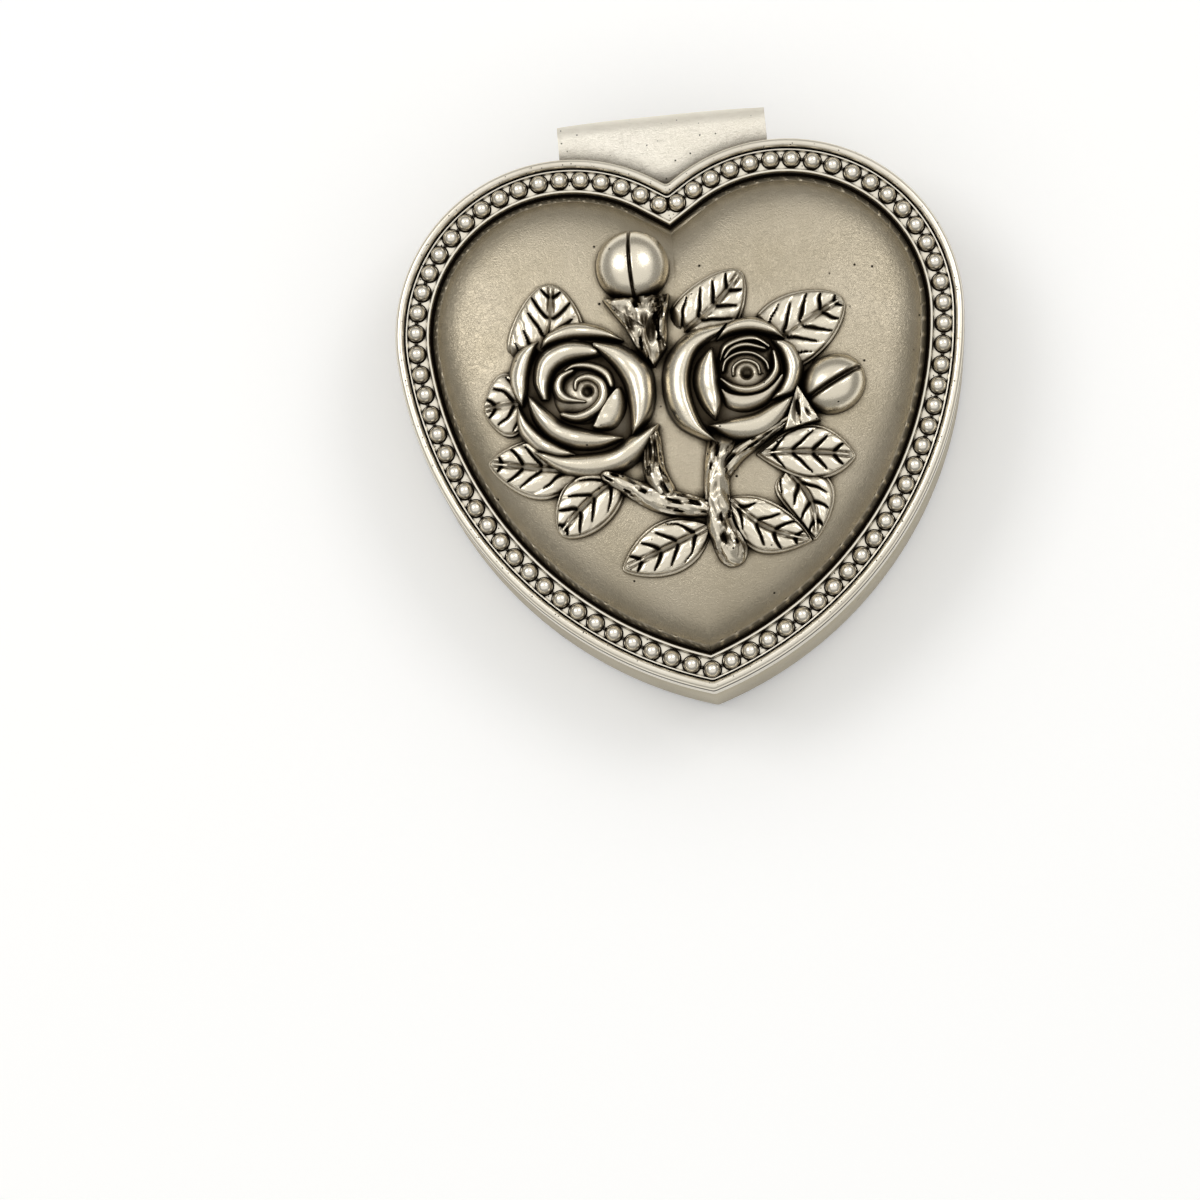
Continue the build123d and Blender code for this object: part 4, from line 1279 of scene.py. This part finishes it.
    def limbs(self, finish: bpy.types.Material) -> None:
        """Build the stem and its branches as one piece.

        Args:
            finish: Material of the relief.
        """
        origin = Vector((0, 0))
        limbs = [
            Ridge([(5.4, -2.2, 2.3), (3.8, -6.5, 1.9), (3.1, -11.0, 1.8), (3.2, -15.5, 2.0), (4.4, -19.3, 2.3),
                   (5.6, -21.4, 2.1)], 2.3, 0.26, 1.0, 90, 0.7),
            Ridge([(2.6, -13.6, 1.2), (-3.6, -12.0, 1.8), (-7.6, -10.1, 1.5), (-12.8, -7.0, 1.0)], 2.1, 0.26, 3.0,
                  80),
            Ridge([(-3.4, -12.0, 1.5), (-5.2, -7.6, 1.6), (-5.0, -1.5, 1.0)], 2.2, 0.26, 5.0, 60),
            Ridge([(3.6, -9.0, 1.4), (6.2, -6.4, 1.2), (9.4, -4.6, 0.9), (14.8, -1.6, 0.6)], 1.9, 0.2, 6.0, 60),
        ]
        add_piece("branch_relief", join(*(limb.skin(origin) for limb in limbs)), finish, Body.LID, "branch",
                  speckle=lambda place: 0.2)

    def leaves(self) -> list[Leaf]:
        """Describe the ten leaves.

        Returns:
            Each leaf with its place on the crown.
        """
        return [
            Leaf("leaf_top_left", (-20.5, 7.9), (-17.3, 20.4), 10.8, bend=-0.79, fullness=0.7, roundness=0.53, dip=1.6),
            Leaf("leaf_left", (-21.5, 3.8), (-28.3, 3.5), 9.2, bend=-0.31, fullness=0.96, dip=1.6),
            Leaf("leaf_lower_left", (-15.7, -6.5), (-28.3, -4.0), 8.6, fullness=0.79),
            Leaf("leaf_inner_left", (-9.7, -7.5), (-19.2, -14.9), 8.0, 0.15, -0.61, 1.01, 0.58),
            Leaf("leaf_bottom_left", (1.7, -15.9), (-11.0, -20.7), 7.5, fullness=0.88),
            Leaf("leaf_bottom_right", (4.6, -12.2), (15.6, -19.1), 7.2, 0.3, -1.3, 0.94, 0.8),
            Leaf("leaf_right", (9.0, -6.5), (22.8, -8.0), 7.8, 0.3, 0.45, 1.2, 0.76),
            Leaf("leaf_inner_right", (13.3, -9.3), (16.1, -19.1), 7.6, bend=1.4, fullness=0.6),
            Leaf("leaf_top_right", (10.1, 7.1), (23.1, 14.3), 10.1, bend=0.19, fullness=0.78, roundness=0.53, dip=2.4),
            Leaf("leaf_top_center", (-1.4, 10.5), (9.4, 19.4), 8.8, bend=-0.84, roundness=0.56, dip=1.8),
        ]


# ---------------------------------------------------------------- hinge


@dataclass
class Hinge:
    """Hinge behind the notch: the lid's cover, the base's leaf and the pin."""

    cover: AntiquedMetal
    leaf: AntiquedMetal
    pin: AntiquedMetal

    def dress(self) -> None:
        """Give the three nodes their finishes."""
        for node, finish in (("hinge_cover", self.cover), ("base_hinge_leaf", self.leaf), ("hinge_pin", self.pin)):
            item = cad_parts[node]
            item.data.materials.clear()
            item.data.materials.append(finish.make())
            log.info("%s dressed", node)


# ---------------------------------------------------------------- studio


@dataclass
class Studio:
    """White table, soft lamps and the camera."""

    lens: float = 192.9
    distance: float = 900.0
    tilt: float = 8.5
    azimuth: float = 8.0
    roll: float = -0.0930
    aim: tuple[float, float, float] = (-14.6767, -24.0308, 20.9)
    table_lift: float = 0.12

    def build(self) -> None:
        """Set up table, lamps, world and camera."""
        self.table()
        self.lamp("ceiling softbox", (0.0, 0.1, 1.5), 4.0, 27.0)
        self.lamp("left softbox", (-0.55, 0.3, 1.0), 0.45, 2.3)
        self.lamp("right softbox", (0.52, 0.34, 1.0), 0.4, 1.5)
        world = bpy.data.worlds.new("studio")
        world.use_nodes = True
        world.node_tree.nodes["Background"].inputs[0].default_value = linear("#F4F3F0")
        world.node_tree.nodes["Background"].inputs[1].default_value = 0.36
        bpy.context.scene.world = world
        bpy.context.scene.view_settings.view_transform = "Standard"
        self.camera()

    def table(self) -> None:
        """White table top under the box."""
        shape = bmesh.new()
        bmesh.ops.create_grid(shape, x_segments=1, y_segments=1, size=1.5)
        mesh = bpy.data.meshes.new("table_top")
        shape.to_mesh(mesh)
        shape.free()
        material = bpy.data.materials.new("white paper")
        material.use_nodes = True
        tree = material.node_tree
        tree.nodes.clear()
        paper = add_node(tree, "BsdfDiffuse", {"Color": linear("#FBFBFA")}).outputs[0]
        path = add_node(tree, "LightPath").outputs
        seen = add_node(tree, "Math", {"operation": "MAXIMUM"}, {0: path["Is Camera Ray"], 1: path["Is Glossy Ray"]})
        seen = add_node(tree, "Math", {"operation": "MAXIMUM"}, {0: seen.outputs[0], 1: path["Is Transmission Ray"]})
        lift = add_node(tree, "Math", {"operation": "MULTIPLY", 1: self.table_lift}, {0: seen.outputs[0]}).outputs[0]
        glow = add_node(tree, "Emission", {}, {"Strength": lift}).outputs[0]
        both = add_node(tree, "AddShader", {}, {0: paper, 1: glow}).outputs[0]
        add_node(tree, "OutputMaterial", {}, {"Surface": both})
        mesh.materials.append(material)
        top = bpy.data.objects.new("table_top", mesh)
        bpy.context.scene.collection.objects.link(top)

    def lamp(self, name: str, place: tuple[float, float, float], size: float, power: float) -> None:
        """Add a square softbox that faces the box.

        Args:
            name: Name of the lamp.
            place: Its place in metres.
            size: Its side in metres.
            power: Its power in watts.
        """
        data = bpy.data.lights.new(name, "AREA")
        data.size, data.energy = size, power
        item = bpy.data.objects.new(name, data)
        item.location = place
        item.rotation_euler = (Vector((0, 0, 0.02)) - Vector(place)).to_track_quat("-Z", "Y").to_euler()
        bpy.context.scene.collection.objects.link(item)

    def camera(self) -> None:
        """Place the camera as the photograph was taken."""
        tilt, azimuth = radians(self.tilt), radians(self.azimuth)
        back = Vector((sin(azimuth) * sin(tilt), -cos(azimuth) * sin(tilt), cos(tilt)))
        place = Vector((0, 0, self.aim[2])) + back * self.distance
        forward = (Vector(self.aim) - place).normalized()
        right = forward.cross(Vector((0, 1, 0))).normalized()
        up = right.cross(forward)
        turned_right = right * cos(self.roll) + up * sin(self.roll)
        turned_up = up * cos(self.roll) - right * sin(self.roll)
        data = bpy.data.cameras.new("camera")
        data.lens, data.sensor_width, data.clip_end = self.lens, 36.0, 20.0
        item = bpy.data.objects.new("camera", data)
        axes = Matrix((turned_right, turned_up, -forward)).transposed()
        item.matrix_world = Matrix.Translation(place * MM) @ axes.to_4x4()
        bpy.context.scene.collection.objects.link(item)
        bpy.context.scene.camera = item


def main() -> None:
    """Build the box from the base up, then the studio."""
    logging.basicConfig(level=logging.INFO, format="%(message)s")
    finishes = Finishes()
    BaseShell(finishes.satin).build()
    Linings(finishes.velvet, finishes.felt).build()
    LidFrame(finishes.frame_metal).build()
    BeadBorder(finishes.beads).build()
    LidDome(finishes.dome).build()
    Ornament(finishes.relief).build()
    Hinge(finishes.tab, finishes.satin, finishes.pin).dress()
    Studio().build()


if __name__ == "__main__":
    main()
